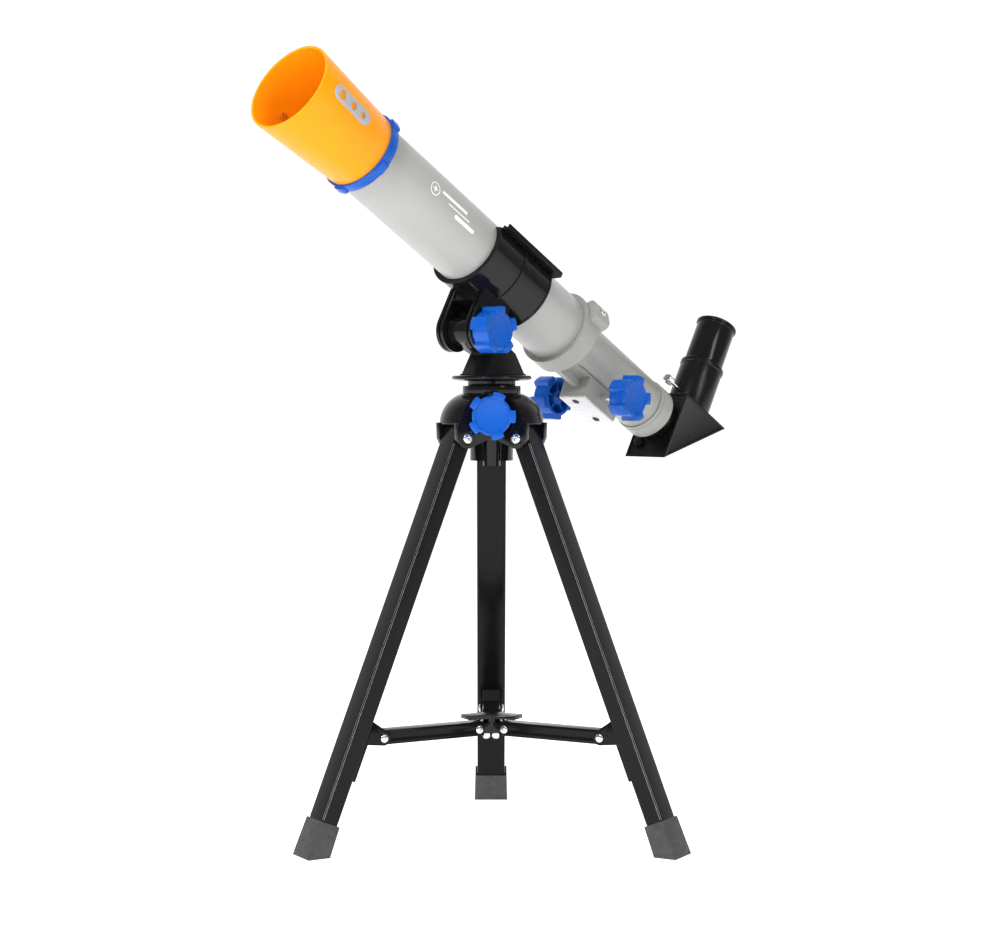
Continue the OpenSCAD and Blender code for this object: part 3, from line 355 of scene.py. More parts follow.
class Bench:
    """Blender's own operators, wrapped as the few moves that make a piece. Sizes are millimetres."""

    @staticmethod
    def clear() -> None:
        """Leaves edit mode with nothing selected."""
        if bpy.context.mode != "OBJECT":
            bpy.ops.object.mode_set(mode="OBJECT")
        bpy.ops.object.select_all(action="DESELECT")

    @staticmethod
    def pick(piece: Piece) -> None:
        """Selects one piece and makes it active."""
        Bench.clear()
        piece.select_set(True)
        bpy.context.view_layer.objects.active = piece

    @staticmethod
    def trace(name: str, outline: Sequence[Point]) -> Piece:
        """Draws a closed outline in X and Y by pulling one point from corner to corner.

        Args:
            name: the piece's name.
            outline: its corners in order.

        Returns:
            The wire, still in edit mode.
        """
        Bench.clear()
        x, y = outline[0]
        bpy.ops.mesh.primitive_plane_add(size=MM, location=(x * MM, y * MM, 0))
        piece = bpy.context.active_object
        piece.name = name
        bpy.ops.object.transform_apply(location=True)
        bpy.ops.object.mode_set(mode="EDIT")
        bpy.ops.mesh.select_mode(type="VERT")
        bpy.ops.mesh.select_all(action="SELECT")
        bpy.ops.mesh.merge(type="CENTER")
        for nx, ny in [*outline[1:], outline[0]]:
            step = ((nx - x) * MM, (ny - y) * MM, 0)
            bpy.ops.mesh.extrude_region_move(TRANSFORM_OT_translate={"value": step})
            x, y = nx, ny
        bpy.ops.mesh.select_all(action="SELECT")
        bpy.ops.mesh.remove_doubles(threshold=1e-7)
        return piece

    @staticmethod
    def turn(name: str, outline: Sequence[Point], steps: int = 96) -> Piece:
        """Spins an outline of radius and height about Z.

        Args:
            name: the piece's name.
            outline: corners as (radius, height), a closed section.
            steps: facets round the turn.

        Returns:
            The turned piece.
        """
        piece = Bench.trace(name, outline)
        bpy.ops.mesh.spin(steps=steps, angle=2 * math.pi, center=(0, 0, 0), axis=(0, 1, 0))
        bpy.ops.mesh.select_all(action="SELECT")
        bpy.ops.mesh.remove_doubles(threshold=1e-7)
        bpy.ops.mesh.normals_make_consistent(inside=False)
        Bench.pick(piece)
        piece.rotation_euler.x = math.pi / 2
        bpy.ops.object.transform_apply(rotation=True)
        return piece

    @staticmethod
    def bar(name: str, outline: Sequence[Point], low: float, high: float) -> Piece:
        """Extrudes a closed outline along Z.

        Args:
            name: the piece's name.
            outline: its corners in X and Y.
            low: where it starts.
            high: where it ends.

        Returns:
            The bar.
        """
        piece = Bench.trace(name, outline)
        bpy.ops.mesh.edge_face_add()
        bpy.ops.mesh.extrude_region_move(TRANSFORM_OT_translate={"value": (0, 0, (high - low) * MM)})
        bpy.ops.mesh.select_all(action="SELECT")
        bpy.ops.transform.translate(value=(0, 0, low * MM))
        bpy.ops.mesh.normals_make_consistent(inside=False)
        Bench.clear()
        return piece

    @staticmethod
    def block(name: str, low: Sequence[float], high: Sequence[float]) -> Piece:
        """A box between two corners."""
        outline = [(low[0], low[1]), (high[0], low[1]), (high[0], high[1]), (low[0], high[1])]
        return Bench.bar(name, outline, low[2], high[2])

    @staticmethod
    def rod(name: str, radius: float, low: float, high: float, at: Point = (0, 0), steps: int = 48) -> Piece:
        """A round rod along Z.

        Args:
            name: the piece's name.
            radius: its radius.
            low: where it starts.
            high: where it ends.
            at: where its axis crosses X and Y.
            steps: facets round it.

        Returns:
            The rod.
        """
        Bench.clear()
        middle = (at[0] * MM, at[1] * MM, (low + high) / 2 * MM)
        bpy.ops.mesh.primitive_cylinder_add(
            vertices=steps, radius=radius * MM, depth=(high - low) * MM, location=middle)
        piece = bpy.context.active_object
        piece.name = name
        bpy.ops.object.transform_apply(location=True)
        return piece

    @staticmethod
    def place(piece: Piece, datum: Matrix) -> Piece:
        """Moves a piece to a datum and puts the move into its mesh."""
        Bench.pick(piece)
        piece.matrix_world = datum
        bpy.ops.object.transform_apply(location=True, rotation=True, scale=True)
        return piece

    @staticmethod
    def copy(piece: Piece, name: str) -> Piece:
        """A copy with its own mesh."""
        twin = piece.copy()
        twin.data = piece.data.copy()
        twin.name = name
        bpy.context.scene.collection.objects.link(twin)
        return twin

    @staticmethod
    def apply(piece: Piece, kind: str, **values: object) -> Piece:
        """Adds one modifier and applies it.

        Args:
            piece: what it works on.
            kind: the modifier's type.
            values: its settings.

        Returns:
            The same piece.
        """
        Bench.pick(piece)
        modifier = piece.modifiers.new(kind.lower(), kind)
        for key, value in values.items():
            setattr(modifier, key, value)
        bpy.ops.object.modifier_apply(modifier=modifier.name)
        return piece

    @staticmethod
    def boolean(piece: Piece, operation: str, tools: Iterable[Piece]) -> Piece:
        """Cuts, joins or keeps with other pieces, which are used up."""
        for tool in tools:
            Bench.apply(piece, "BOOLEAN", operation=operation, object=tool, solver="EXACT")
            bpy.data.objects.remove(tool)
        return piece

    @staticmethod
    def cut(piece: Piece, *tools: Piece) -> Piece:
        """Cuts tools out of a piece."""
        return Bench.boolean(piece, "DIFFERENCE", tools)

    @staticmethod
    def weld(piece: Piece, *others: Piece) -> Piece:
        """Joins others to a piece as one skin."""
        return Bench.boolean(piece, "UNION", others)

    @staticmethod
    def keep(piece: Piece, *tools: Piece) -> Piece:
        """Keeps what a piece shares with each tool."""
        return Bench.boolean(piece, "INTERSECT", tools)

    @staticmethod
    def gather(name: str, pieces: Sequence[Piece]) -> Piece:
        """Puts several loose pieces into one object."""
        Bench.clear()
        for piece in pieces:
            piece.select_set(True)
        bpy.context.view_layer.objects.active = pieces[0]
        bpy.ops.object.join()
        pieces[0].name = name
        return pieces[0]

    @staticmethod
    def soften(piece: Piece, width: float = 0.4, segments: int = 3, angle: float = 32) -> Piece:
        """Rounds the sharp edges and smooths the shading.

        Args:
            piece: what to round.
            width: how wide the rounding is.
            segments: facets across it.
            angle: edges sharper than this are rounded, in degrees.

        Returns:
            The same piece.
        """
        if width > 0:
            Bench.apply(piece, "BEVEL", width=width * MM, segments=segments, limit_method="ANGLE",
                        angle_limit=math.radians(angle), use_clamp_overlap=True, miter_outer="MITER_ARC")
        Bench.pick(piece)
        bpy.ops.object.shade_smooth_by_angle(angle=math.radians(38))
        return piece

    @staticmethod
    def choose(piece: Piece, chosen: Callable[[Vector, Vector], bool]) -> None:
        """Goes into edit mode with only some faces selected.

        Args:
            piece: what to work on.
            chosen: says from a face's centre and normal, in millimetres, whether it takes part.
        """
        Bench.pick(piece)
        bpy.ops.object.mode_set(mode="EDIT")
        bpy.ops.mesh.select_mode(type="FACE")
        bpy.ops.mesh.select_all(action="DESELECT")
        bpy.ops.object.mode_set(mode="OBJECT")
        for polygon in piece.data.polygons:
            polygon.select = chosen(polygon.center / MM, polygon.normal)
        bpy.ops.object.mode_set(mode="EDIT")

    @staticmethod
    def push(piece: Piece, chosen: Callable[[Vector, Vector], bool], rim: float, depth: float) -> Piece:
        """Insets the chosen faces and pushes what is left along their normals.

        Args:
            piece: what to work on.
            chosen: which faces take part.
            rim: width left standing round the edge.
            depth: how far the middle goes in.

        Returns:
            The same piece.
        """
        Bench.choose(piece, chosen)
        bpy.ops.mesh.inset(thickness=rim * MM, use_even_offset=True)
        bpy.ops.mesh.inset(thickness=0.01 * MM, depth=-depth * MM, use_even_offset=True)
        Bench.clear()
        return piece


def arc(centre: Point, radius: float, start: float, end: float, count: int) -> list[Point]:
    """Points along an arc.

    Args:
        centre: the arc's centre.
        radius: its radius.
        start: first angle in degrees.
        end: last angle in degrees.
        count: how many steps between them.

    Returns:
        The points, both ends included.
    """
    angles = [math.radians(start + (end - start) * i / count) for i in range(count + 1)]
    return [(centre[0] + radius * math.cos(a), centre[1] + radius * math.sin(a)) for a in angles]


def rounded(x: float, y: float, radius: float, count: int = 4) -> list[Point]:
    """A rectangle's outline about the origin, with round corners."""
    points: list[Point] = []
    for sx, sy, start in ((1, 1, 0), (-1, 1, 90), (-1, -1, 180), (1, -1, 270)):
        points += arc((sx * (x / 2 - radius), sy * (y / 2 - radius)), radius, start, start + 90, count)
    return points


def axes(origin: Vector, x: Vector, y: Vector, z: Vector) -> Matrix:
    """A datum from its origin and three directions."""
    return Matrix(((x.x, y.x, z.x, origin.x), (x.y, y.y, z.y, origin.y), (x.z, y.z, z.z, origin.z), (0, 0, 0, 1)))


def spin(degrees: float) -> Matrix:
    """A turn about Z."""
    return Matrix.Rotation(math.radians(degrees), 4, "Z")


def shift(x: float = 0, y: float = 0, z: float = 0) -> Matrix:
    """A move in millimetres."""
    return Matrix.Translation(Vector((x, y, z)) * MM)


class Datums:
    """The frame's own places: along the tube, on the altitude axis, on each leg."""

    def __init__(self, frame: dict) -> None:
        """Reads joints and mounts.
        """
        joints = {j["name"]: j for j in frame["joints"]}
        mounts = {m["name"]: m for m in frame["record"]["mounts"]}
        self.joints = joints
        self.along = Vector(joints["diagonal_turn"]["axis"]).normalized()
        self.up = Vector(joints["eyepiece_slide"]["axis"]).normalized()
        self.side = self.up.cross(self.along)
        pivot = Vector(joints["altitude_tilt"]["pos_m"])
        on_axis = Vector(joints["diagonal_turn"]["pos_m"])
        self.pivot = pivot
        self.station = pivot + self.up * (on_axis - pivot).dot(self.up)
        self.section = axes(self.station, self.side, self.up, self.along)
        self.profile = axes(self.station, self.along, self.up, -self.side)
        self.fork_profile = axes(pivot, self.along, self.up, -self.side)
        level = Vector((self.along.x, self.along.y, 0)).normalized()
        self.upright = Vector((0, 0, 1))
        centre = Vector((0, 0, 0))
        self.base = axes(centre, level, self.side, self.upright)
        self.base_profile = axes(centre, level, self.upright, -self.side)
        self.mounts = mounts

    def across(self, s: float, w: float, n: float, outward: int = 1) -> Matrix:
        """A datum square to the tube's side, its Z along the altitude axis.

        Args:
            s: place along the tube from the altitude axis.
            w: place to the knob side.
            n: place above the tube axis.
            outward: 1 for Z towards the knob side, -1 away from it.

        Returns:
            The datum.
        """
        origin = self.station + (self.along * s + self.side * w + self.up * n) * MM
        z = self.side * outward
        return axes(origin, self.along, z.cross(self.along), z)

    def leg(self, name: str) -> Matrix:
        """A leg's datum: on its pivot, Z up along the leg, Y along the pivot, X outwards."""
        joint = self.joints[f"leg_{name}_fold"]
        pivot, along = Vector(joint["pos_m"]), Vector(joint["axis"]).normalized()
        sole = Vector(self.mounts[f"foot_{name}_sole"]["pos_m"])
        up = (pivot - sole).normalized()
        return axes(pivot, along.cross(up), along, up)

    def spoke(self, name: str) -> Matrix:
        """On one leg's bearing at floor level: X outwards, Z up."""
        along = Vector(self.joints[f"leg_{name}_fold"]["axis"]).normalized()
        return axes(Vector((0, 0, 0)), along.cross(self.upright), along, self.upright)


@dataclass
class Shop:
    """What every sub-assembly works with."""

    frame: dict
    datums: Datums
    paints: Paintbox = field(default_factory=Paintbox)

    def hand_over(self, piece: Piece, finish: Finish, body: str, slot: str, *nodes: str) -> Piece:
        """Dresses a finished piece and ties it to the frame.

        Args:
            piece: the piece.
            finish: its finish.
            body: the CAD body it rides on.
            slot: the record's material slot; not used.
            nodes: CAD nodes it stands for.

        Returns:
            The same piece.
        """
        piece.data.materials.clear()
        piece.data.materials.append(self.paints.get(finish))
        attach(piece, body)
        if nodes:
            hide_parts(*nodes)
        LOG.info("%s: %d faces on %s", piece.name, len(piece.data.polygons), body)
        return piece

    def dress_node(self, node: str, finish: Finish) -> None:
        """Gives a CAD node that stays a finish."""
        piece = self.frame["nodes"][node]
        for place in piece.material_slots:
            place.material = self.paints.get(finish)
        LOG.info("%s: CAD shape, %s", node, finish.name.lower())

    def soft_copy(self, node: str, name: str, width: float) -> Piece:
        """A copy of a CAD node with its facets merged and its edges rounded.

        Args:
            node: the CAD node.
            name: the new piece's name.
            width: how wide the rounding is.

        Returns:
            The new piece.
        """
        source = self.frame["nodes"][node]
        piece = Bench.copy(source, name)
        piece.parent = None
        Bench.pick(piece)
        bpy.ops.object.mode_set(mode="EDIT")
        bpy.ops.mesh.select_all(action="SELECT")
        bpy.ops.mesh.remove_doubles(threshold=2e-6)
        bpy.ops.mesh.dissolve_limited(angle_limit=math.radians(0.6))
        Bench.clear()
        return Bench.soften(piece, width, 2, 40)


# ---------------------------------------------------------------- small parts


def pan_head(name: str, radius: float, height: float, cross: bool = True) -> Piece:
    """A domed screw head, its seat at Z = 0 and its top along Z.

    Args:
        name: the piece's name.
        radius: its radius.
        height: its height.
        cross: whether it has a cross recess.

    Returns:
        The head.
    """
    dome = [(0, 0), (radius, 0), (radius, height * 0.35)]
    dome += [(radius * math.cos(math.radians(a)), height * (0.35 + 0.65 * math.sin(math.radians(a))))
             for a in (20, 40, 60, 75)]
    head = Bench.turn(name, [*dome, (0, height)], 40)
    if cross:
        half, long = radius * 0.13, radius * 0.55
        for x, y in ((half, long), (long, half)):
            Bench.cut(head, Bench.block("slot", (-x, -y, height * 0.45), (x, y, height * 2)))
    return Bench.soften(head, radius * 0.04, 2, 40)


@dataclass(frozen=True)
class Knob:
    """A five-lobed clamp knob, its back at Z = 0."""

    radius: float = 13.4
    lobe_radius: float = 16.3
    thickness: float = 13.5
    lobes: int = 5
    lobe_width: float = 8.4
    wall: float = 2.0
    hollow: float = 8.0
    hub_wall: float = 2.6

    def make(self, name: str, bore: float, start: float) -> Piece:
        """Models the knob.

        Args:
            name: the piece's name.
            bore: radius of the hole for its shaft.
            start: angle of the first lobe, in degrees from X.

        Returns:
            The knob.
        """
        top, hub = self.thickness, bore + self.hub_wall
        inner, bored = self.radius - self.wall, self.thickness - 4
        cup = Bench.turn(name, [
            (0, top - 0.5), (self.radius - 2.4, top - 0.5), (self.radius - 2.0, top),
            (self.radius - 1.0, top), (self.radius, top - 1.0), (self.radius, 0), (inner, 0),
            (inner, self.hollow), (hub, self.hollow), (hub, 0.8), (bore + 0.06, 0.8),
            (bore + 0.06, bored), (0, bored)])
        for index in range(self.lobes):
            half, reach = self.lobe_width / 2, self.lobe_radius
            edge = arc((0, 0), reach, -math.degrees(math.asin(half / reach)),
                       math.degrees(math.asin(half / reach)), 4)
            outline = [(inner + 0.4, half), (inner + 0.4, -half), *edge]
            lobe = Bench.bar("lobe", outline, 0.6, top + 0.7)
            Bench.weld(cup, Bench.place(lobe, spin(start + index * 360 / self.lobes)))
            rib = Bench.block("rib", (hub - 0.5, -0.6, 1.6), (inner + 0.5, 0.6, self.hollow + 0.2))
            Bench.weld(cup, Bench.place(rib, spin(start + (index + 0.5) * 360 / self.lobes)))
        return Bench.soften(cup, 0.55, 3, 40)


# ---------------------------------------------------------------- optical tube


@dataclass
class DewShield:
    """The flared front shield, its side plates, the coloured ring and what is behind it."""

    start: float = 146.4
    length: float = 70.3
    back_radius: float = 26.8
    front_radius: float = 31.2
    wall: float = 1.8
    floor: float = 2.0
    window: float = 20.4
    tube_radius: float = 25.05
    spigot: float = 1.5
    ring_width: float = 7.2
    ring_radius: float = 28.2
    lug_radius: float = 29.6
    lug_width: float = 9.0
    lug_turns: tuple[float, ...] = (46, 118, 190, 262, 334)
    plate_length: float = 36
    plate_width: float = 10
    plate_turn: float = 83
    holes: tuple[tuple[float, float], ...] = ((10.5, 3.2), (-1, 2.7), (-11, 2.2))

    def radius_at(self, s: float) -> float:
        """The shield's outer radius at a place along the tube."""
        return self.back_radius + (self.front_radius - self.back_radius) * (s - self.start) / self.length

    def shell(self, shop: Shop) -> None:
        """The shield itself, with a rolled lip."""
        end = self.start + self.length
        inside = self.front_radius - self.wall
        lip = arc((inside + self.wall / 2, end - self.wall / 2), self.wall / 2, 0, 180, 8)
        back = self.tube_radius + self.spigot
        outline = [(self.tube_radius, self.start - self.ring_width), (back, self.start - self.ring_width),
                   (back, self.start - 0.1), (self.back_radius, self.start), *lip,
                   (self.back_radius - self.wall + 0.4, self.start + self.floor + 1.5),
                   (self.back_radius - self.wall - 1.2, self.start + self.floor),
                   (self.window, self.start + self.floor), (self.window, self.start),
                   (self.tube_radius, self.start)]
        piece = Bench.turn("dew_shield_shell", outline, 160)
        Bench.place(piece, shop.datums.section)
        Bench.soften(piece, 0.3, 2, 40)
        shop.hand_over(piece, Finish.ORANGE, "telescope", "orange_plastic", "dew_shield")

    def plate(self, name: str, turn: float, shop: Shop) -> Piece:
        """One side plate, hugging the shield.

        Args:
            name: the piece's name.
            turn: where round the tube it sits, in degrees from the top.
            shop: the shared tools.

        Returns:
            The plate.
        """
        middle = self.start + 0.58 * self.length
        half, round_off = (self.plate_length - self.plate_width) / 2, self.plate_width / 2
        outline = [*arc((half, 0), round_off, -90, 90, 14), *arc((-half, 0), round_off, 90, 270, 14)]
        pill = Bench.bar(name, outline, 20, 36)
        for place, radius in self.holes:
            Bench.cut(pill, Bench.rod("hole", radius, 10, 40, (place, 0), 40))
        turned = Matrix(((0, 0, 1, 0), (0, 1, 0, 0), (-1, 0, 0, 0), (0, 0, 0, 1)))
        datum = shop.datums.section @ spin(90 - turn) @ turned.inverted()
        lift = shift(middle)
        Bench.place(pill, datum @ lift)
        s0, s1 = middle - 22, middle + 22
        r0, r1 = self.radius_at(s0), self.radius_at(s1)
        band = Bench.turn("band", [(r0 + 0.02, s0), (r0 + 1.1, s0), (r1 + 1.1, s1), (r1 + 0.02, s1)], 160)
        Bench.place(band, shop.datums.section)
        Bench.keep(pill, band)
        return Bench.soften(pill, 0.28, 2, 40)

    def plates(self, shop: Shop) -> None:
        """Both side plates and the small screws behind them."""
        pair = [self.plate("near_plate", self.plate_turn, shop), self.plate("far_plate", self.plate_turn - 180, shop)]
        shop.hand_over(Bench.gather("side_plate_pair", pair), Finish.PLATE, "telescope", "grey_plate", "side_plates")
        shop.dress_node("side_plate_screws", Finish.ZINC)

    def ring(self, shop: Shop) -> None:
        """The coloured ring with its lugs."""
        low, high = self.start - self.ring_width, self.start - 0.05
        bore = self.tube_radius + self.spigot + 0.05
        ring = Bench.turn("ring_band", [(bore, low), (self.ring_radius - 0.7, low), (self.ring_radius, low + 1.2),
                                        (self.ring_radius, high), (bore, high)], 128)
        for turn in self.lug_turns:
            half = self.lug_width / 2
            outline = [(bore + 0.5, -half), (self.lug_radius - 0.8, -half), (self.lug_radius, -half + 1.4),
                       (self.lug_radius, half - 1.4), (self.lug_radius - 0.8, half), (bore + 0.5, half)]
            lug = Bench.bar("lug", outline, low + 0.9, high - 0.9)
            Bench.weld(ring, Bench.place(lug, spin(90 - turn)))
        Bench.soften(ring, 0.4, 3, 38)
        Bench.place(ring, shop.datums.section)
        shop.hand_over(ring, Finish.BLUE, "telescope", "blue_plastic", "lens_ring")

    def build(self, shop: Shop) -> None:
        """Makes the shield, its plates, the ring and dresses the objective."""
        self.shell(shop)
        self.plates(shop)
        self.ring(shop)
        shop.dress_node("objective_lens", Finish.GLASS)
        for node in ("lens_cell", "lens_retainer", "tube_baffle"):
            shop.dress_node(node, Finish.INNER)


@dataclass
class MainTube:
    """The painted tube and the plain mark printed on it."""

    radius: float = 25.0
    inner: float = 23.6
    rear: float = 90.0
    front: float = 146.4
    mark_turn: float = 84.0
    mark_lift: float = 0.04

    def tube(self, shop: Shop) -> None:
        """The tube with rolled ends."""
        piece = Bench.turn("main_tube_shell", [(self.inner, -self.rear), (self.radius, -self.rear),
                                               (self.radius, self.front), (self.inner, self.front)], 160)
        Bench.place(piece, shop.datums.section)
        Bench.soften(piece, 0.25, 2)
        shop.hand_over(piece, Finish.TUBE, "telescope", "tube_paint", "main_tube")

    def mark(self, shop: Shop) -> None:
        """A plain printed mark: a ringed disc, a star and three bars, with no letters."""
        star = [(r * math.cos(math.radians(a)), r * math.sin(math.radians(a)))
                for a, r in ((45 * i, 2.9 if i % 2 == 0 else 1.0) for i in range(8))]
        shapes = [Bench.bar("star", [(x + 95.0, y) for x, y in star], 20, 30)]
        halo = Bench.rod("halo", 4.6, 20, 30, (95.0, 0), 48)
        shapes.append(Bench.cut(halo, Bench.rod("hole", 3.9, 10, 40, (95.0, 0), 48)))
        for low, high, across, width in ((61, 88, 2.2, 2.3), (57, 80, -1.9, 0.9), (50, 71, -5.6, 2.6)):
            outline = [(x + (low + high) / 2, y - across) for x, y in rounded(high - low, width, width / 2.2, 3)]
            shapes.append(Bench.bar("stripe", outline, 20, 30))
        mark = Bench.gather("tube_mark", shapes)
        outward = Matrix(((0, 0, 1, 0), (0, -1, 0, 0), (1, 0, 0, 0), (0, 0, 0, 1)))
        Bench.place(mark, shop.datums.section @ spin(90 - self.mark_turn) @ outward)
        band = Bench.turn("band", [(self.radius + 0.005, 40), (self.radius + self.mark_lift, 40),
                                   (self.radius + self.mark_lift, 110), (self.radius + 0.005, 110)], 160)
        Bench.keep(mark, Bench.place(band, shop.datums.section))
        Bench.soften(mark, 0)
        shop.hand_over(mark, Finish.PRINT, "telescope", "grey_plate")

    def build(self, shop: Shop) -> None:
        """Makes the tube and its mark."""
        self.tube(shop)
        self.mark(shop)


# ---------------------------------------------------------------- cradle and mount


@dataclass
class Cradle:
    """The saddle under the tube, with two hollow-edged ears and a flange along each side."""

    tube_radius: float = 25.05
    wall: float = 3.2
    front: float = 29.0
    rear: float = 31.0
    edge: float = 15.5
    rib_s: float = -0.85
    rib_width: float = 1.5
    rib_height: float = 0.9
    flange_low: float = 14.4
    flange_in: float = 20.5
    flange_out: float = 30.0
    flange_front: float = 27.0
    flange_rear: float = 35.5
    ear_radius: float = 14.4
    ear_in: float = 9.9
    ear_thick: float = 6.3
    rise: float = 48.7
    web_low: float = 16.0
    bolt: float = 3.05
    head_radius: float = 6.0
    head_height: float = 3.0

    def saddle(self, shop: Shop) -> Piece:
        """The round shell with its lips and rib."""
        outer, lip = self.tube_radius + self.wall, self.tube_radius + self.wall + 0.55
        outline = [(self.tube_radius, -self.rear), (lip, -self.rear), (lip, 1.3 - self.rear),
                   (outer, 1.9 - self.rear),
                   (outer, self.rib_s - self.rib_width), (outer + self.rib_height, self.rib_s - self.rib_width / 2),
                   (outer + self.rib_height, self.rib_s + self.rib_width / 2), (outer, self.rib_s + self.rib_width),
                   (outer, self.front - 2.1), (lip, self.front - 1.5), (lip, self.front),
                   (self.tube_radius, self.front)]
        shell = Bench.turn("cradle_body", outline, 128)
        return Bench.cut(shell, Bench.block("open_top", (-40, self.edge, -60), (40, 60, 60)))

    def flange(self, side: int) -> Piece:
        """A channel along one edge, with a rib across its middle.

        Args:
            side: 1 on the knob side, -1 on the other.

        Returns:
            The flange, in the section datum.
        """
        low, inn, out = self.flange_low, self.flange_in, self.flange_out
        outline = [(inn, low), (out, low + 0.6), (out, low + 4.4), (out - 1.2, low + 4.4), (out - 1.2, low + 2.4),
                   (out - 4.4, low + 2.2), (out - 4.4, low + 3.5), (out - 5.4, low + 3.5), (out - 5.4, low + 2.2),
                   (inn, low + 1.1)]
        channel = Bench.bar("flange", [(side * x, y) for x, y in outline], -self.flange_rear, self.flange_front)
        x0, x1 = sorted((side * (inn + 1.5), side * (out - 0.3)))
        rib = Bench.block("rib", (x0, low + 1, self.rib_s - 0.8), (x1, low + 3.9, self.rib_s + 0.8))
        return Bench.weld(channel, rib)

    def ear_outline(self, inset: float) -> list[Point]:
        """An ear's outline from its round end up to the shell."""
        r, top = self.ear_radius - inset, self.rise - self.tube_radius + 6
        return [(r, top), (-r, top), *arc((0, 0), r, 180, 360, 28)]

    def ear(self, side: int) -> Piece:
        """One ear: two skins with a groove between them round the edge.

        Args:
            side: 1 on the knob side, -1 on the other.

        Returns:
            The ear, in the fork profile datum.
        """
        low, skin = self.ear_in, self.ear_thick * 0.36
        spans = ((low, low + skin, 0.0), (low + skin - 0.1, low + self.ear_thick - skin + 0.1, 1.1),
                 (low + self.ear_thick - skin, low + self.ear_thick, 0.0))
        layers = []
        for near, far, inset in spans:
            z0, z1 = sorted((-side * near, -side * far))
            layers.append(Bench.bar("ear", self.ear_outline(inset), z0, z1))
        ear = Bench.weld(layers[0], *layers[1:])
        return Bench.cut(ear, Bench.rod("bore", self.bolt, -30, 30))

    def build(self, shop: Shop) -> None:
        """Welds the cradle together and adds the bolt's head."""
        section, fork = shop.datums.section, shop.datums.fork_profile
        body = Bench.place(self.saddle(shop), section)
        parts = [Bench.place(self.flange(side), section) for side in (1, -1)]
        parts += [Bench.place(self.ear(side), fork) for side in (1, -1)]
        r, inn = self.ear_radius, self.ear_in
        web = Bench.bar("web", [(-r, self.web_low), (r, self.web_low), (r, self.web_low + 9), (-r, self.web_low + 9)],
                        -inn - 1, inn + 1)
        Bench.push(web, lambda c, n: abs(n.x) > 0.9, 1.0, 0.9)
        parts.append(Bench.place(web, fork))
        Bench.weld(body, *parts)
        bore = Bench.rod("tube_bore", self.tube_radius, -80, 80, (0, 0), 128)
        Bench.cut(body, Bench.place(bore, section))
        Bench.soften(body, 0.4, 2, 40)
        shop.hand_over(body, Finish.GLOSS_BLACK, "telescope", "black_plastic", "cradle")
        shop.dress_node("cradle_screws", Finish.ZINC)
        reach = self.ear_in + self.ear_thick
        head = Bench.place(pan_head("bolt_head", self.head_radius, self.head_height),
                           shop.datums.across(0, -reach, -self.rise, -1))
        shank = Bench.place(Bench.rod("shank", 3.0, -reach, reach + 10), fork @ Matrix.Rotation(math.pi, 4, "X"))
        bolt = Bench.gather("altitude_bolt_and_head", [head, shank])
        shop.hand_over(Bench.soften(bolt, 0), Finish.ZINC, "telescope", "bright_steel", "altitude_bolt")


@dataclass
class AzimuthBase:
    """The pyramid, its leaning neck and hub, and the disc under it."""

    fork_x: float = 24.0
    fork_z: float = 349.6
    hub: float = 9.5
    bolt: float = 3.05
    half_width: float = 9.6
    disc_top: float = 319.6
    disc_t: float = 4.0
    disc_radius: float = 27.6
    head_top: float = 312.2
    neck: float = 16.5
    post: float = 9.0
    post_low: float = 265.8
    foot: Point = (38.0, 25.3)
    crown: Point = (24.8, 19.5)
    rise: float = 14.9
    lean: float = -1.5

    def pyramid(self) -> Piece:
        """The four-sided base block with a stepped plinth."""
        (l0, w0), (l1, w1) = self.foot, self.crown
        block = Bench.block("azimuth_block", (self.lean - l0 / 2, -w0 / 2, self.disc_top - 0.5),
                            (self.lean + l0 / 2, w0 / 2, self.disc_top + self.rise))
        Bench.choose(block, lambda c, n: n.z > 0.9)
        bpy.ops.transform.resize(value=(l1 / l0, w1 / w0, 1), center_override=(self.lean * MM, 0, 0))
        Bench.clear()
        plinth = Bench.block("plinth", (self.lean - l0 / 2 - 0.4, -w0 / 2 - 0.4, self.disc_top - 0.5),
                             (self.lean + l0 / 2 + 0.4, w0 / 2 + 0.4, self.disc_top + 0.9))
        return Bench.weld(block, plinth)

    def neck_plate(self) -> Piece:
        """The neck that leans forward to the hub, in the base profile datum."""
        x, z, r = self.fork_x, self.fork_z, self.hub
        low, back, front = self.disc_top + self.rise, self.lean - self.crown[0] / 2, self.lean + self.crown[0] / 2
        outline = [(back, low - 1), (back, low - 0.1), *reversed(arc((x, z), r, -64, 116, 24)), (front, low - 1)]
        plate = Bench.bar("neck", outline, -self.half_width, self.half_width)
        return Bench.cut(plate, Bench.place(Bench.rod("bore", self.bolt, -30, 30), shift(x, z)))

    def build(self, shop: Shop) -> None:
        """Makes the base and dresses the retainer under the head."""
        piece = Bench.place(self.pyramid(), shop.datums.base)
        Bench.weld(piece, Bench.place(self.neck_plate(), shop.datums.base_profile))
        Bench.soften(piece, 0.6, 3, 25)
        low, edge = self.disc_top - self.disc_t, self.disc_radius
        rim = arc((edge - 1.5, low + 2.2), 1.5, -50, 90, 6)
        outline = [(0, self.post_low), (self.post, self.post_low), (self.post, self.head_top),
                   (self.neck, self.head_top), (self.neck, low), (edge - 5, low), *rim,
                   (edge - 5, self.disc_top - 0.2), (edge - 6, self.disc_top), (0, self.disc_top)]
        disc = Bench.soften(Bench.place(Bench.turn("azimuth_disc", outline, 128), shop.datums.base), 0.3, 2)
        both = Bench.gather("azimuth_base_body", [piece, disc])
        shop.hand_over(both, Finish.GLOSS_BLACK, "azimuth_base", "black_plastic", "azimuth_base")
        shop.dress_node("azimuth_retainer", Finish.ZINC)


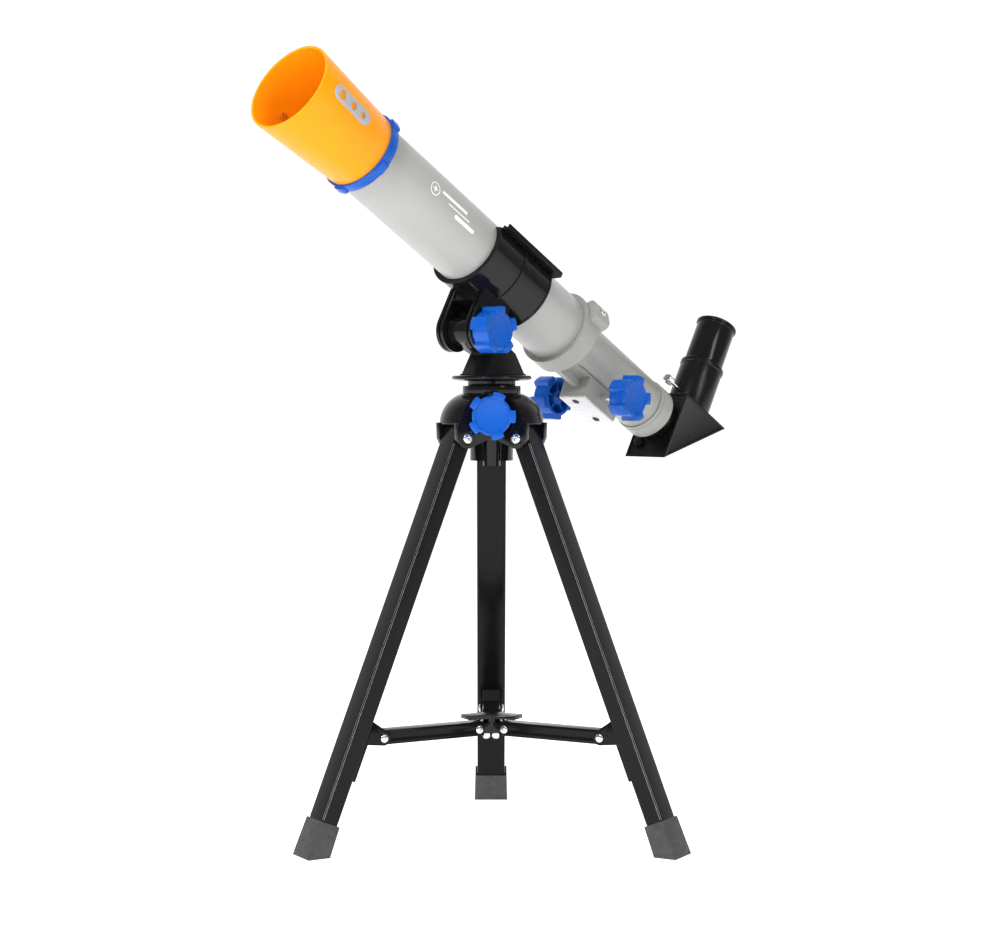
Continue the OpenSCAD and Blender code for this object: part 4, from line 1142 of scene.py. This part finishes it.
@dataclass
class TripodHead:
    """The domed head, its pivot screws and the clamp knobs."""

    screw_radius: float = 3.7
    screw_height: float = 2.3
    lobe_half: float = 14.8
    pivot_radius: float = 27.5
    pivot_z: float = 276.7
    clamp_z: float = 292.0
    knob_back: float = 27.5
    fork_half: float = 16.8
    rise: float = 48.7

    def screws(self, shop: Shop) -> None:
        """A domed head at each end of every leg pivot."""
        heads = []
        for name in ("left", "right", "rear"):
            spoke = shop.datums.spoke(name) @ shift(self.pivot_radius, 0, self.pivot_z)
            for side in (1, -1):
                out = Matrix.Rotation(-side * math.pi / 2, 4, "X")
                lift = shift(0, 0, self.lobe_half)
                heads.append(Bench.place(pan_head("head", self.screw_radius, self.screw_height), spoke @ out @ lift))
            shank = Bench.rod("shank", 2.0, -self.lobe_half, self.lobe_half)
            heads.append(Bench.place(shank, spoke @ Matrix.Rotation(math.pi / 2, 4, "X")))
        piece = Bench.soften(Bench.gather("leg_pivot_screw_set", heads), 0)
        shop.hand_over(piece, Finish.ZINC, "tripod_head", "bright_steel", "leg_pivot_screws")

    def build(self, shop: Shop) -> None:
        """Makes the head, its screws and the two clamp knobs."""
        head = shop.soft_copy("tripod_head", "tripod_head_body", 0.7)
        shop.hand_over(head, Finish.GLOSS_BLACK, "tripod_head", "black_plastic", "tripod_head")
        self.screws(shop)
        front = Matrix.Rotation(math.pi / 2, 4, "X")
        clamp = Knob().make("azimuth_clamp_knob", 3.0, -2)
        Bench.place(clamp, shift(0, -self.knob_back, self.clamp_z) @ front)
        shop.hand_over(clamp, Finish.BLUE, "azimuth_knob", "blue_plastic", "azimuth_knob")
        shop.dress_node("azimuth_clamp_screw", Finish.ZINC)
        knob = Knob().make("altitude_clamp_knob", 3.0, 0)
        place = shop.datums.across(0, self.fork_half, -self.rise)
        Bench.place(knob, place @ spin(self.altitude_start()))
        shop.hand_over(knob, Finish.BLUE, "altitude_knob", "blue_plastic", "altitude_knob")

    @staticmethod
    def altitude_start() -> float:
        """Where the altitude knob's first lobe stands, in degrees from the tube's direction."""
        return -132.0


# ---------------------------------------------------------------- tripod


@dataclass
class Leg:
    """One leg: a grooved box tube, its rubber foot, bracket and rivets."""

    name: str
    width: float = 20.6
    depth: float = 12.4
    wall: float = 1.0
    corner: float = 1.7
    top: float = 8.0
    pivot_bore: float = 2.05
    foot_width: float = 25.2
    foot_depth: float = 15.4
    foot_length: float = 24.0
    window: tuple[float, float, float] = (6.8, 8.0, 26.0)
    strip_drop: float = 30.0
    strip_half: float = 3.6
    cheek: float = 7.8
    rivet: float = 2.9
    arm_length: float = 74.5
    # radius and places of the bright beads that paint highlight lines on the leg corners
    bead: float = 0.16
    highlight_bead_turns: tuple[float, float] = (24.0, 62.0)

    def section(self, x: float, y: float, radius: float) -> list[Point]:
        """A box section whose outer corners carry a fine groove."""
        points: list[Point] = []
        for sx, sy, start in ((1, 1, 0), (-1, 1, 90), (-1, -1, 180), (1, -1, 270)):
            centre = (sx * (x / 2 - radius), sy * (y / 2 - radius))
            points += arc(centre, radius, start, start + 36, 3)
            points += arc(centre, radius - 0.28, start + 45, start + 45, 1)[:1]
            points += arc(centre, radius, start + 54, start + 90, 3)
        return points

    def tube(self, shop: Shop, tab: Vector, length: float) -> None:
        """The leg's tube, open where the spreader arm folds in."""
        outside = self.section(self.depth, self.width, self.corner)
        tube = Bench.bar(f"leg_{self.name}_tube", outside, -length, self.top)
        inner = rounded(self.depth - 2 * self.wall, self.width - 2 * self.wall, 0.8, 2)
        Bench.cut(tube, Bench.bar("inside", inner, -length - 1, self.top + 1))
        half, up, down = self.window
        Bench.cut(tube, Bench.block("window", (-self.depth, -half, tab.z - down), (-1, half, tab.z + up)))
        bore = Bench.place(Bench.rod("bore", self.pivot_bore, -20, 20), Matrix.Rotation(math.pi / 2, 4, "X"))
        Bench.cut(tube, bore)
        Bench.place(tube, shop.datums.leg(self.name))
        Bench.soften(tube, 0, 2)
        shop.hand_over(tube, Finish.ENAMEL, f"leg_{self.name}", "leg_black", f"leg_{self.name}")

    def paint_corner_highlights(self, shop: Shop, length: float) -> None:
        """Two fine bright metal beads along each outer corner, a painted highlight: they stand in for the light
        caught on the rounded corners.
        """
        x, y, highlight_beads = self.depth / 2 - self.corner, self.width / 2 - self.corner, []
        for side in (1, -1):
            for turn in self.highlight_bead_turns:
                reach, angle = self.corner - 0.06, math.radians(turn)
                at = (x + reach * math.cos(angle), side * (y + reach * math.sin(angle)))
                highlight_beads.append(Bench.rod("bead", self.bead, 17 - length, self.top - 14, at, 8))
        piece = Bench.gather(f"leg_{self.name}_beads", highlight_beads)
        Bench.soften(Bench.place(piece, shop.datums.leg(self.name)), 0)
        shop.hand_over(piece, Finish.EDGE, f"leg_{self.name}", "bright_steel")

    def foot(self, shop: Shop, length: float) -> None:
        """The rubber foot: a flared cap with a lip, cut level at the floor."""
        datum = shop.datums.leg(self.name)
        low, high = -length - 16, -length + self.foot_length
        cap = Bench.block(f"foot_{self.name}_cap", (-self.foot_depth / 2, -self.foot_width / 2, low),
                          (self.foot_depth / 2, self.foot_width / 2, high))
        Bench.choose(cap, lambda c, n: n.z > 0.9)
        bpy.ops.transform.resize(value=(0.925, 0.935, 1))
        bpy.ops.mesh.inset(thickness=0.9 * MM, use_even_offset=True)
        bpy.ops.mesh.inset(thickness=0.01 * MM, depth=-0.8 * MM, use_even_offset=True)
        Bench.clear()
        Bench.place(cap, datum)
        Bench.pick(cap)
        bpy.ops.object.mode_set(mode="EDIT")
        bpy.ops.mesh.select_all(action="SELECT")
        bpy.ops.mesh.bisect(plane_co=(0, 0, 0), plane_no=(0, 0, 1), use_fill=True, clear_inner=True)
        Bench.clear()
        Bench.soften(cap, 1.0, 4, 30)
        shop.hand_over(cap, Finish.RUBBER, f"leg_{self.name}", "rubber_grey", f"foot_{self.name}")

    def rivets(self, shop: Shop, tab: Vector) -> None:
        """The two outer pivot rivets and the two that hold the bracket."""
        datum, heads = shop.datums.leg(self.name), []
        for side in (1, -1):
            out = shift(tab.x, side * self.cheek, tab.z) @ Matrix.Rotation(-side * math.pi / 2, 4, "X")
            heads.append(Bench.place(pan_head("rivet", self.rivet, 1.4, False), datum @ out))
            strip = shift(-self.depth / 2 - 1, side * self.strip_half, tab.z - self.strip_drop)
            inward = strip @ Matrix.Rotation(-math.pi / 2, 4, "Y")
            heads.append(Bench.place(pan_head("rivet", self.rivet, 1.0, False), datum @ inward))
        piece = Bench.soften(Bench.gather(f"rivets_{self.name}_set", heads), 0)
        shop.hand_over(piece, Finish.ZINC, f"leg_{self.name}", "bright_steel", f"rivets_{self.name}")

    def build(self, shop: Shop) -> None:
        """Makes the leg with its foot, bracket and rivets."""
        datum = shop.datums.leg(self.name)
        arm = shop.datums.joints[f"arm_{self.name}_fold"]
        inner = Vector(arm["pos_m"])
        outward = Vector((inner.x, inner.y, 0)).normalized()
        tab_world = inner + outward * (self.arm_length * MM)
        tab = (datum.inverted() @ tab_world) / MM
        sole = Vector(shop.datums.mounts[f"foot_{self.name}_sole"]["pos_m"])
        length = (Vector(shop.datums.joints[f"leg_{self.name}_fold"]["pos_m"]) - sole).length / MM
        self.tube(shop, tab, length - 8)
        # painted highlight lines: bright beads along the outer corners
        self.paint_corner_highlights(shop, length - 8)
        self.foot(shop, length)
        self.rivets(shop, tab)
        bracket = shop.soft_copy(f"bracket_{self.name}", f"bracket_{self.name}_sheet", 0.25)
        shop.hand_over(bracket, Finish.ENAMEL, f"leg_{self.name}", "sheet_black", f"bracket_{self.name}")


@dataclass
class Spreader:
    """The sliding hub and its three channel arms."""

    width: float = 12.6
    height: float = 9.6
    sheet: float = 1.0
    bend: float = 1.4
    inner_bend: float = 0.5
    inner: float = 13.5
    outer: float = 88.0
    back: float = 4.0
    ahead: float = 3.2
    level: float = 75.7
    rivet: float = 1.65

    def channel(self) -> list[Point]:
        """The arm's section, open below, with rounded shoulders."""
        half, top, low, t = self.width / 2, self.height / 2 + 0.2, 0.2 - self.height / 2, self.sheet
        bend, right, left = self.bend, (half - self.bend, top - self.bend), (self.bend - half, top - self.bend)
        outside = [(half, low), *arc(right, bend, 0, 90, 4), *arc(left, bend, 90, 180, 4), (-half, low)]
        inside = [(t - half, low), *reversed(arc(left, self.inner_bend, 90, 180, 2)),
                  *reversed(arc(right, self.inner_bend, 0, 90, 2)), (half - t, low)]
        return outside + inside

    def arm(self, name: str, shop: Shop) -> None:
        """One arm, swept along its bearing."""
        arm = Bench.bar(f"arm_{name}_channel", self.channel(), self.inner - self.back, self.outer + self.ahead)
        turned = Matrix(((0, 0, 1, 0), (1, 0, 0, 0), (0, 1, 0, 0), (0, 0, 0, 1)))
        Bench.place(arm, turned)
        for place in (self.inner, self.outer):
            hole = Bench.place(Bench.rod("hole", self.rivet, -20, 20, steps=24),
                               shift(place) @ Matrix.Rotation(math.pi / 2, 4, "X"))
            Bench.cut(arm, hole)
        Bench.place(arm, shop.datums.spoke(name) @ shift(0, 0, self.level))
        Bench.soften(arm, 0.15, 2, 40)
        shop.hand_over(arm, Finish.ENAMEL, f"arm_{name}", "sheet_black", f"arm_{name}")

    def build(self, shop: Shop) -> None:
        """Makes the hub, its rivets and the arms."""
        hub = shop.soft_copy("spreader_hub", "spreader_hub_body", 0.5)
        shop.hand_over(hub, Finish.GLOSS_BLACK, "spreader_hub", "black_plastic", "spreader_hub")
        heads = []
        for name in ("left", "right", "rear"):
            self.arm(name, shop)
            spoke = shop.datums.spoke(name) @ shift(self.inner, 0, self.level)
            for side in (1, -1):
                out = Matrix.Rotation(-side * math.pi / 2, 4, "X") @ shift(0, 0, self.width / 2 + 0.15)
                heads.append(Bench.place(pan_head("rivet", 2.9, 1.3, False), spoke @ out))
            shank = Bench.rod("shank", 1.58, -self.width / 2, self.width / 2)
            heads.append(Bench.place(shank, spoke @ Matrix.Rotation(math.pi / 2, 4, "X")))
        piece = Bench.soften(Bench.gather("hub_rivet_set", heads), 0)
        shop.hand_over(piece, Finish.ZINC, "spreader_hub", "bright_steel", "hub_rivets")


# ---------------------------------------------------------------- focuser


@dataclass
class Focuser:
    """The collar and sleeve, the pinion housing under it, knobs and the end ring."""

    tube: float = 25.05
    collar: float = 28.5
    collar_front: float = -76.5
    collar_rear: float = -92.0
    sleeve: float = 19.5
    bore: float = 17.15
    end: float = -186.3
    pinion_s: float = -134.5
    drop: float = 24.5
    block: tuple[float, float] = (-154.0, -117.0)
    block_half: float = 12.0
    block_low: float = -32.7
    gusset_half: float = 2.6
    cover_t: float = 1.7
    screw_s: tuple[float, float] = (-122.5, -148.5)
    boss_turn: float = 58.0
    boss_width: float = 17.0
    boss_reach: float = 34.0
    knob_face: float = 43.0
    shaft: float = 2.5
    ring: tuple[float, float] = (-202.2, -186.6)
    ring_radius: float = 20.4
    socket: float = 12.3

    def body(self, shop: Shop) -> None:
        """The moulded collar, shoulder, sleeve and pinion housing."""
        shoulder = [(self.sleeve + 7.2 * (1 - math.sin(math.radians(a))),
                     self.collar_rear - 6.5 * (1 - math.cos(math.radians(a)))) for a in (82, 65, 45, 25, 6)]
        outline = [(self.bore, self.end), (self.sleeve - 0.5, self.end), (self.sleeve, self.end + 0.8),
                   *shoulder,
                   (self.collar - 1.2, self.collar_rear), (self.collar - 0.2, self.collar_rear + 1.0),
                   (self.collar - 0.2, self.collar_front - 2.2), (self.collar, self.collar_front - 1.6),
                   (self.collar, self.collar_front), (self.tube, self.collar_front),
                   (self.tube, self.collar_rear + 2), (self.bore, self.collar_rear + 2)]
        body = Bench.place(Bench.turn("focuser_shell", outline, 128), shop.datums.section)
        s0, s1 = self.block
        half, low = self.block_half, self.block_low
        side = [(s0, low), (s1, low), (s1 + 1.5, -self.sleeve + 1.5), (s1 + 14, -self.sleeve + 2.5),
                (s0 - 1.0, -self.sleeve + 2.5)]
        block = Bench.bar("housing", side, -half, half)
        hollow = Bench.bar("chamber", arc((self.pinion_s, -self.drop), 8.85, 0, 360, 48)[:-1], -3.3, 3.3)
        slot = Bench.block("slot", (self.pinion_s - 8.8, low - 2, -3.3), (self.pinion_s + 8.8, -self.drop, 3.3))
        shaft = Bench.bar("shaft_hole", arc((self.pinion_s, -self.drop), self.shaft + 0.05, 0, 360, 32)[:-1], -30, 30)
        parts = [Bench.place(p, shop.datums.profile) for p in (block, hollow, slot, shaft)]
        gusset = Bench.block("gusset", (-self.gusset_half, -self.sleeve - 6.2, s1 - 2),
                             (self.gusset_half, -self.sleeve + 3, self.collar_rear - 2))
        key = Bench.block("keyway", (-3.2, -18.75, self.end - 1), (3.2, -10, self.collar_rear + 3))
        boss = Bench.bar("boss", rounded(self.boss_width, 2 * self.boss_reach, 4.5, 5),
                         self.collar_rear - 3, self.collar_front - 2.5)
        Bench.cut(boss, Bench.block("lower_half", (-30, -60, -200), (30, self.tube - 2, 0)))
        Bench.weld(body, parts[0], Bench.place(gusset, shop.datums.section),
                   Bench.place(boss, shop.datums.section @ spin(-self.boss_turn)))
        bore = Bench.rod("bore", self.bore, self.end - 2, self.collar_front + 2, (0, 0), 96)
        seat = Bench.rod("seat", self.tube, self.collar_rear + 2, self.collar_front + 2, (0, 0), 128)
        Bench.cut(body, Bench.place(bore, shop.datums.section), Bench.place(seat, shop.datums.section),
                  Bench.place(key, shop.datums.section), *parts[1:])
        Bench.soften(body, 0.5, 2, 38)
        shop.hand_over(body, Finish.PALE, "telescope", "grey_plastic", "focuser_body")

    def cover(self, shop: Shop) -> None:
        """The cover under the pinion, with its two dark screws."""
        s0, s1 = self.block
        half, low = self.block_half, self.block_low
        plate = Bench.block("cover_plate", (-half, low - self.cover_t, s0), (half, low, s1))
        Bench.soften(Bench.place(plate, shop.datums.section), 0.35, 3)
        shop.hand_over(plate, Finish.COVER, "telescope", "grey_plastic", "pinion_cover")
        heads = []
        for s in self.screw_s:
            seat = shop.datums.station + (shop.datums.along * s + shop.datums.up * (low - self.cover_t)) * MM
            datum = axes(seat, shop.datums.along, -shop.datums.side, -shop.datums.up)
            heads.append(Bench.place(pan_head("cover_screw", 2.7, 0.9), datum))
        piece = Bench.gather("cover_screw_pair", heads)
        shop.hand_over(piece, Finish.BLUED, "telescope", "dark_steel", "cover_screws")

    def knobs(self, shop: Shop) -> None:
        """The two focus knobs on their shaft."""
        shape = Knob()
        for name, outward, start in (("right", 1, -152.0), ("left", -1, 28.0)):
            knob = shape.make(f"focus_knob_{name}_grip", self.shaft, start)
            back = outward * (self.knob_face - shape.thickness)
            place = shop.datums.across(self.pinion_s, back, -self.drop, outward)
            Bench.place(knob, place)
            shop.hand_over(knob, Finish.BLUE, "focus_shaft", "blue_plastic", f"focus_knob_{name}")
        shop.dress_node("pinion_shaft", Finish.ZINC)
        shop.dress_node("pinion", Finish.NYLON)

    def end_ring(self, shop: Shop) -> None:
        """The ring on the drawtube, with a fine groove and a chamfered mouth."""
        back, front = self.ring
        r = self.ring_radius
        outline = [(self.socket, back), (self.socket + 2.5, back), (r - 1.6, back), (r, back + 1.4), (r, front - 3.4),
                   (r - 0.5, front - 3.1), (r - 0.5, front - 2.6), (r, front - 2.3), (r, front - 0.4),
                   (r - 0.4, front),
                   (15.35, front), (15.35, front + 12), (self.socket, front + 12)]
        ring = Bench.soften(Bench.place(Bench.turn("end_ring", outline, 128), shop.datums.section), 0.25, 2)
        shop.hand_over(ring, Finish.PALE, "drawtube", "grey_plastic", "eyepiece_holder")
        shop.dress_node("drawtube", Finish.PALE)
        shop.dress_node("focus_rack", Finish.NYLON)

    def build(self, shop: Shop) -> None:
        """Makes the whole focuser."""
        self.body(shop)
        self.cover(shop)
        self.knobs(shop)
        self.end_ring(shop)
        seat = shop.datums.section @ spin(-self.boss_turn) @ shift(0, self.boss_reach, self.collar_rear + 5)
        head = pan_head("collar_screw", 2.8, 1.4)
        Bench.place(head, seat @ Matrix.Rotation(-math.pi / 2, 4, "X"))
        shop.hand_over(head, Finish.ZINC, "telescope", "bright_steel", "focuser_screw")


# ---------------------------------------------------------------- diagonal and eyepiece


@dataclass
class Diagonal:
    """The mirror housing with framed sides, its nose, sleeve and thumb screw."""

    front: float = -211.5
    side_length: float = 55.0
    top: float = 23.5
    half: float = 18.8
    rim: float = 2.0
    sink: float = 0.9
    collar: float = 15.0
    ring_back: float = -202.2
    nose: float = 12.25
    nose_front: float = -190.2
    sleeve: float = 16.4
    socket: float = 12.3
    sleeve_height: float = 38.5
    axis_s: float = -238.57
    screw_n: float = 33.0
    wall: float = 2.0

    def housing(self, shop: Shop) -> None:
        """The three-cornered shell with its frames, nose and sleeve."""
        f, t, leg = self.front, self.top, self.side_length
        body = Bench.bar("diagonal_shell", [(f, t), (f, t - leg), (f - leg, t)], -self.half, self.half)
        Bench.push(body, lambda c, n: abs(n.z) > 0.9, self.rim, self.sink)
        Bench.push(body, lambda c, n: n.x > 0.9, 1.6, 0.8)
        Bench.push(body, lambda c, n: n.x < -0.5 and n.y < -0.5, 2.0, 0.7)
        Bench.soften(Bench.place(body, shop.datums.profile), 0.45, 3, 35)
        nose = Bench.turn("nose", [(self.nose - 1.5, f - 3), (self.collar, f - 3),
                                   (self.collar, self.ring_back - 0.2),
                                   (self.nose, self.ring_back - 0.2), (self.nose, self.nose_front - 0.6),
                                   (self.nose - 0.6, self.nose_front), (self.nose - 1.5, self.nose_front)], 96)
        Bench.soften(Bench.place(nose, shop.datums.section), 0.25, 2)
        up = axes(shop.datums.station + shop.datums.along * (self.axis_s * MM), shop.datums.side, -shop.datums.along,
                  shop.datums.up)
        high, r = t + self.sleeve_height, self.sleeve
        sleeve = Bench.turn("sleeve", [(self.socket, t - 3), (r, t - 3), (r, high - 4.2), (r - 0.4, high - 3.8),
                                       (r - 0.4, high - 3.2), (r + 0.6, high - 2.6), (r + 0.6, high),
                                       (self.socket, high)], 96)
        Bench.cut(sleeve, Bench.place(Bench.rod("screw_hole", 1.6, 5, 30, (0, 0), 32),
                                      shift(0, 0, self.screw_n) @ Matrix.Rotation(math.pi / 2, 4, "X")))
        Bench.soften(Bench.place(sleeve, up), 0.25, 2)
        boss_at = shop.datums.section @ shift(-10.2, -18.8, f - 1)
        boss = Bench.soften(Bench.place(Bench.rod("boss", 3.8, 0, 3.2), boss_at), 0.4, 3)
        piece = Bench.gather("diagonal_body", [body, nose, sleeve, boss])
        shop.hand_over(piece, Finish.BLACK, "diagonal", "black_plastic", "diagonal_housing")
        shop.dress_node("diagonal_cover", Finish.INNER)
        shop.dress_node("diagonal_mirror", Finish.MIRROR)

    def thumb_screw(self, shop: Shop) -> None:
        """A knurled thumb screw with its shank."""
        start = self.sleeve + 10.5
        head = Bench.turn("thumb_head", [(0, start), (2.6, start), (3.5, start + 0.8), (3.5, start + 6.6),
                                         (2.7, start + 7.5), (0, start + 7.5)], 60)
        grooves = [Bench.rod("groove", 0.28, start + 1.2, start + 6.2, (3.55 * math.cos(a), 3.55 * math.sin(a)), 8)
                   for a in (i * math.pi / 10 for i in range(20))]
        Bench.cut(head, Bench.gather("grooves", grooves))
        shank = Bench.rod("thumb_shank", 1.5, 12.55, start + 0.5, steps=32)
        out = shop.datums.station + (shop.datums.along * self.axis_s + shop.datums.up * self.screw_n) * MM
        datum = axes(out, shop.datums.side, shop.datums.up, shop.datums.along)
        piece = Bench.gather("thumb_screw_body", [head, shank])
        Bench.soften(Bench.place(piece, datum), 0.12, 2)
        shop.hand_over(piece, Finish.CHROME, "thumb_screw", "bright_steel", "thumb_screw")

    def build(self, shop: Shop) -> None:
        """Makes the housing and the thumb screw."""
        self.housing(shop)
        self.thumb_screw(shop)


@dataclass
class Eyepiece:
    """The eyepiece: bright barrel, black body, rim and dished eye cap."""

    seat: float = 62.0
    height: float = 37.5
    radius: float = 14.8
    rim: float = 3.0
    barrel: float = 12.25
    axis_s: float = -238.57
    eye_hole: float = 7.0

    def build(self, shop: Shop) -> None:
        """Makes the body and cap and dresses the glass and barrel."""
        d = shop.datums
        up = axes(d.station + d.along * (self.axis_s * MM), d.side, -d.along, d.up)
        low, high, r = self.seat + 0.1, self.seat + self.height - self.rim, self.radius
        body = Bench.turn("eyepiece_shell", [
            (self.barrel + 0.02, low), (r + 0.5, low), (r + 0.5, low + 1.2), (r - 0.1, low + 1.7), (r, low + 2.4),
            (r, high - 2.2), (r - 0.35, high - 1.9), (r - 0.35, high - 1.3), (r, high - 1.0), (r, high),
            (self.barrel - 2.5, high), (self.barrel - 2.5, low + 7), (self.barrel + 0.02, low + 7)], 128)
        Bench.soften(Bench.place(body, up), 0.2, 2)
        shop.hand_over(body, Finish.GLOSS_BLACK, "eyepiece", "black_plastic", "eyepiece_body")
        top = high + self.rim
        cap = Bench.turn("eye_cap_ring", [
            (self.eye_hole, high), (r + 1, high), (r + 1, high + 1.7), (r + 0.4, high + 2.4), (r - 0.6, top),
            (r - 2.2, top), (r - 3.0, top - 0.5), (self.eye_hole + 0.4, high + 1.5),
            (self.eye_hole, high + 1.2)], 128)
        Bench.soften(Bench.place(cap, up), 0.2, 2)
        shop.hand_over(cap, Finish.BLACK, "eyepiece", "black_plastic", "eye_cap")
        shop.dress_node("eyepiece_barrel", Finish.CHROME)
        shop.dress_node("eyepiece_lenses", Finish.GLASS)


# ---------------------------------------------------------------- studio


@dataclass
class Studio:
    """A pale floor, soft light and the camera."""

    eye: tuple[float, float, float] = (-0.00562, -1.5577, 0.3176)
    pitch: float = 2.197
    yaw: float = 0.42
    lens: float = 81.18
    bright: float = 1.1
    dim: float = 0.22
    glow: float = 0.66
    fade: Point = (0.1, 0.92)
    aim: tuple[float, float, float] = (0, 0, 0.28)

    def floor(self) -> None:
        """A large pale floor plane with a faint even glow."""
        Bench.clear()
        bpy.ops.mesh.primitive_plane_add(size=24, location=(0, 0, 0))
        floor = bpy.context.active_object
        floor.name = "studio_floor"
        graph = Graph("floor_paper")
        graph.tint(graph.noise(3, 2), Tone.FLOOR, 0.01)
        graph.shader.inputs["Roughness"].default_value = 0.9
        graph.shader.inputs["Emission Color"].default_value = (1, 1, 1, 1)
        graph.shader.inputs["Emission Strength"].default_value = self.glow
        floor.data.materials.append(graph.material)

    def lamp(self, name: str, place: Sequence[float], size: Point, power: float, mirrored: bool = True) -> None:
        """A soft rectangular lamp aimed at the middle of the telescope.

        Args:
            name: the lamp's name.
            place: where it stands, in metres.
            size: its width and height, in metres.
            power: watts.
            mirrored: whether it shows in shiny surfaces.
        """
        data = bpy.data.lights.new(name, "AREA")
        data.shape = "RECTANGLE"
        data.size, data.size_y = size
        data.energy = power
        lamp = bpy.data.objects.new(name, data)
        lamp.location = place
        lamp.visible_glossy = mirrored
        aim = Vector(self.aim) - Vector(place)
        lamp.rotation_euler = aim.to_track_quat("-Z", "Y").to_euler()
        bpy.context.scene.collection.objects.link(lamp)

    def camera(self) -> None:
        """The camera, level to within a couple of degrees."""
        data = bpy.data.cameras.new("camera")
        data.lens, data.sensor_width = self.lens, 36.0
        camera = bpy.data.objects.new("camera", data)
        camera.location = self.eye
        camera.rotation_euler = (math.radians(90 - self.pitch), 0, math.radians(-self.yaw))
        bpy.context.scene.collection.objects.link(camera)
        bpy.context.scene.camera = camera

    def backdrop(self) -> None:
        """A white room ahead of the camera that grows dim behind it."""
        world = bpy.data.worlds.new("studio")
        world.use_nodes = True
        tree = world.node_tree
        parts = tree.nodes.new("ShaderNodeSeparateXYZ")
        fade = tree.nodes.new("ShaderNodeMapRange")
        fade.inputs["From Min"].default_value = self.fade[0]
        fade.inputs["From Max"].default_value = self.fade[1]
        fade.inputs["To Min"].default_value = self.dim
        fade.inputs["To Max"].default_value = self.bright
        place = tree.nodes.new("ShaderNodeTexCoord")
        tree.links.new(place.outputs["Generated"], parts.inputs["Vector"])
        tree.links.new(parts.outputs["Y"], fade.inputs["Value"])
        light = tree.nodes["Background"]
        light.inputs["Color"].default_value = (1, 1, 1, 1)
        tree.links.new(fade.outputs["Result"], light.inputs["Strength"])
        bpy.context.scene.world = world

    def build(self) -> None:
        """Sets floor, light and camera."""
        self.backdrop()
        bpy.context.scene.view_settings.view_transform = "Standard"
        self.floor()
        self.lamp("key", (-1.3, -1.7, 1.5), (1.3, 1.3), 42, mirrored=False)
        self.lamp("fill", (1.5, -1.5, 1.5), (0.5, 1.2), 12)
        self.lamp("top", (0.2, 0.1, 1.9), (1.4, 0.8), 12, mirrored=False)
        self.lamp("spark", (-0.8, -1.6, 1.5), (0.16, 0.16), 10)
        self.camera()


def main() -> None:
    """Loads the frame, builds every sub-assembly and the studio."""
    logging.basicConfig(level=logging.INFO, format="%(message)s")
    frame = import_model()
    shop = Shop(frame, Datums(frame))
    DewShield().build(shop)
    MainTube().build(shop)
    Cradle().build(shop)
    AzimuthBase().build(shop)
    TripodHead().build(shop)
    for name in ("left", "right", "rear"):
        Leg(name).build(shop)
    Spreader().build(shop)
    Focuser().build(shop)
    Diagonal().build(shop)
    Eyepiece().build(shop)
    Studio().build()


if __name__ == "__main__":
    main()
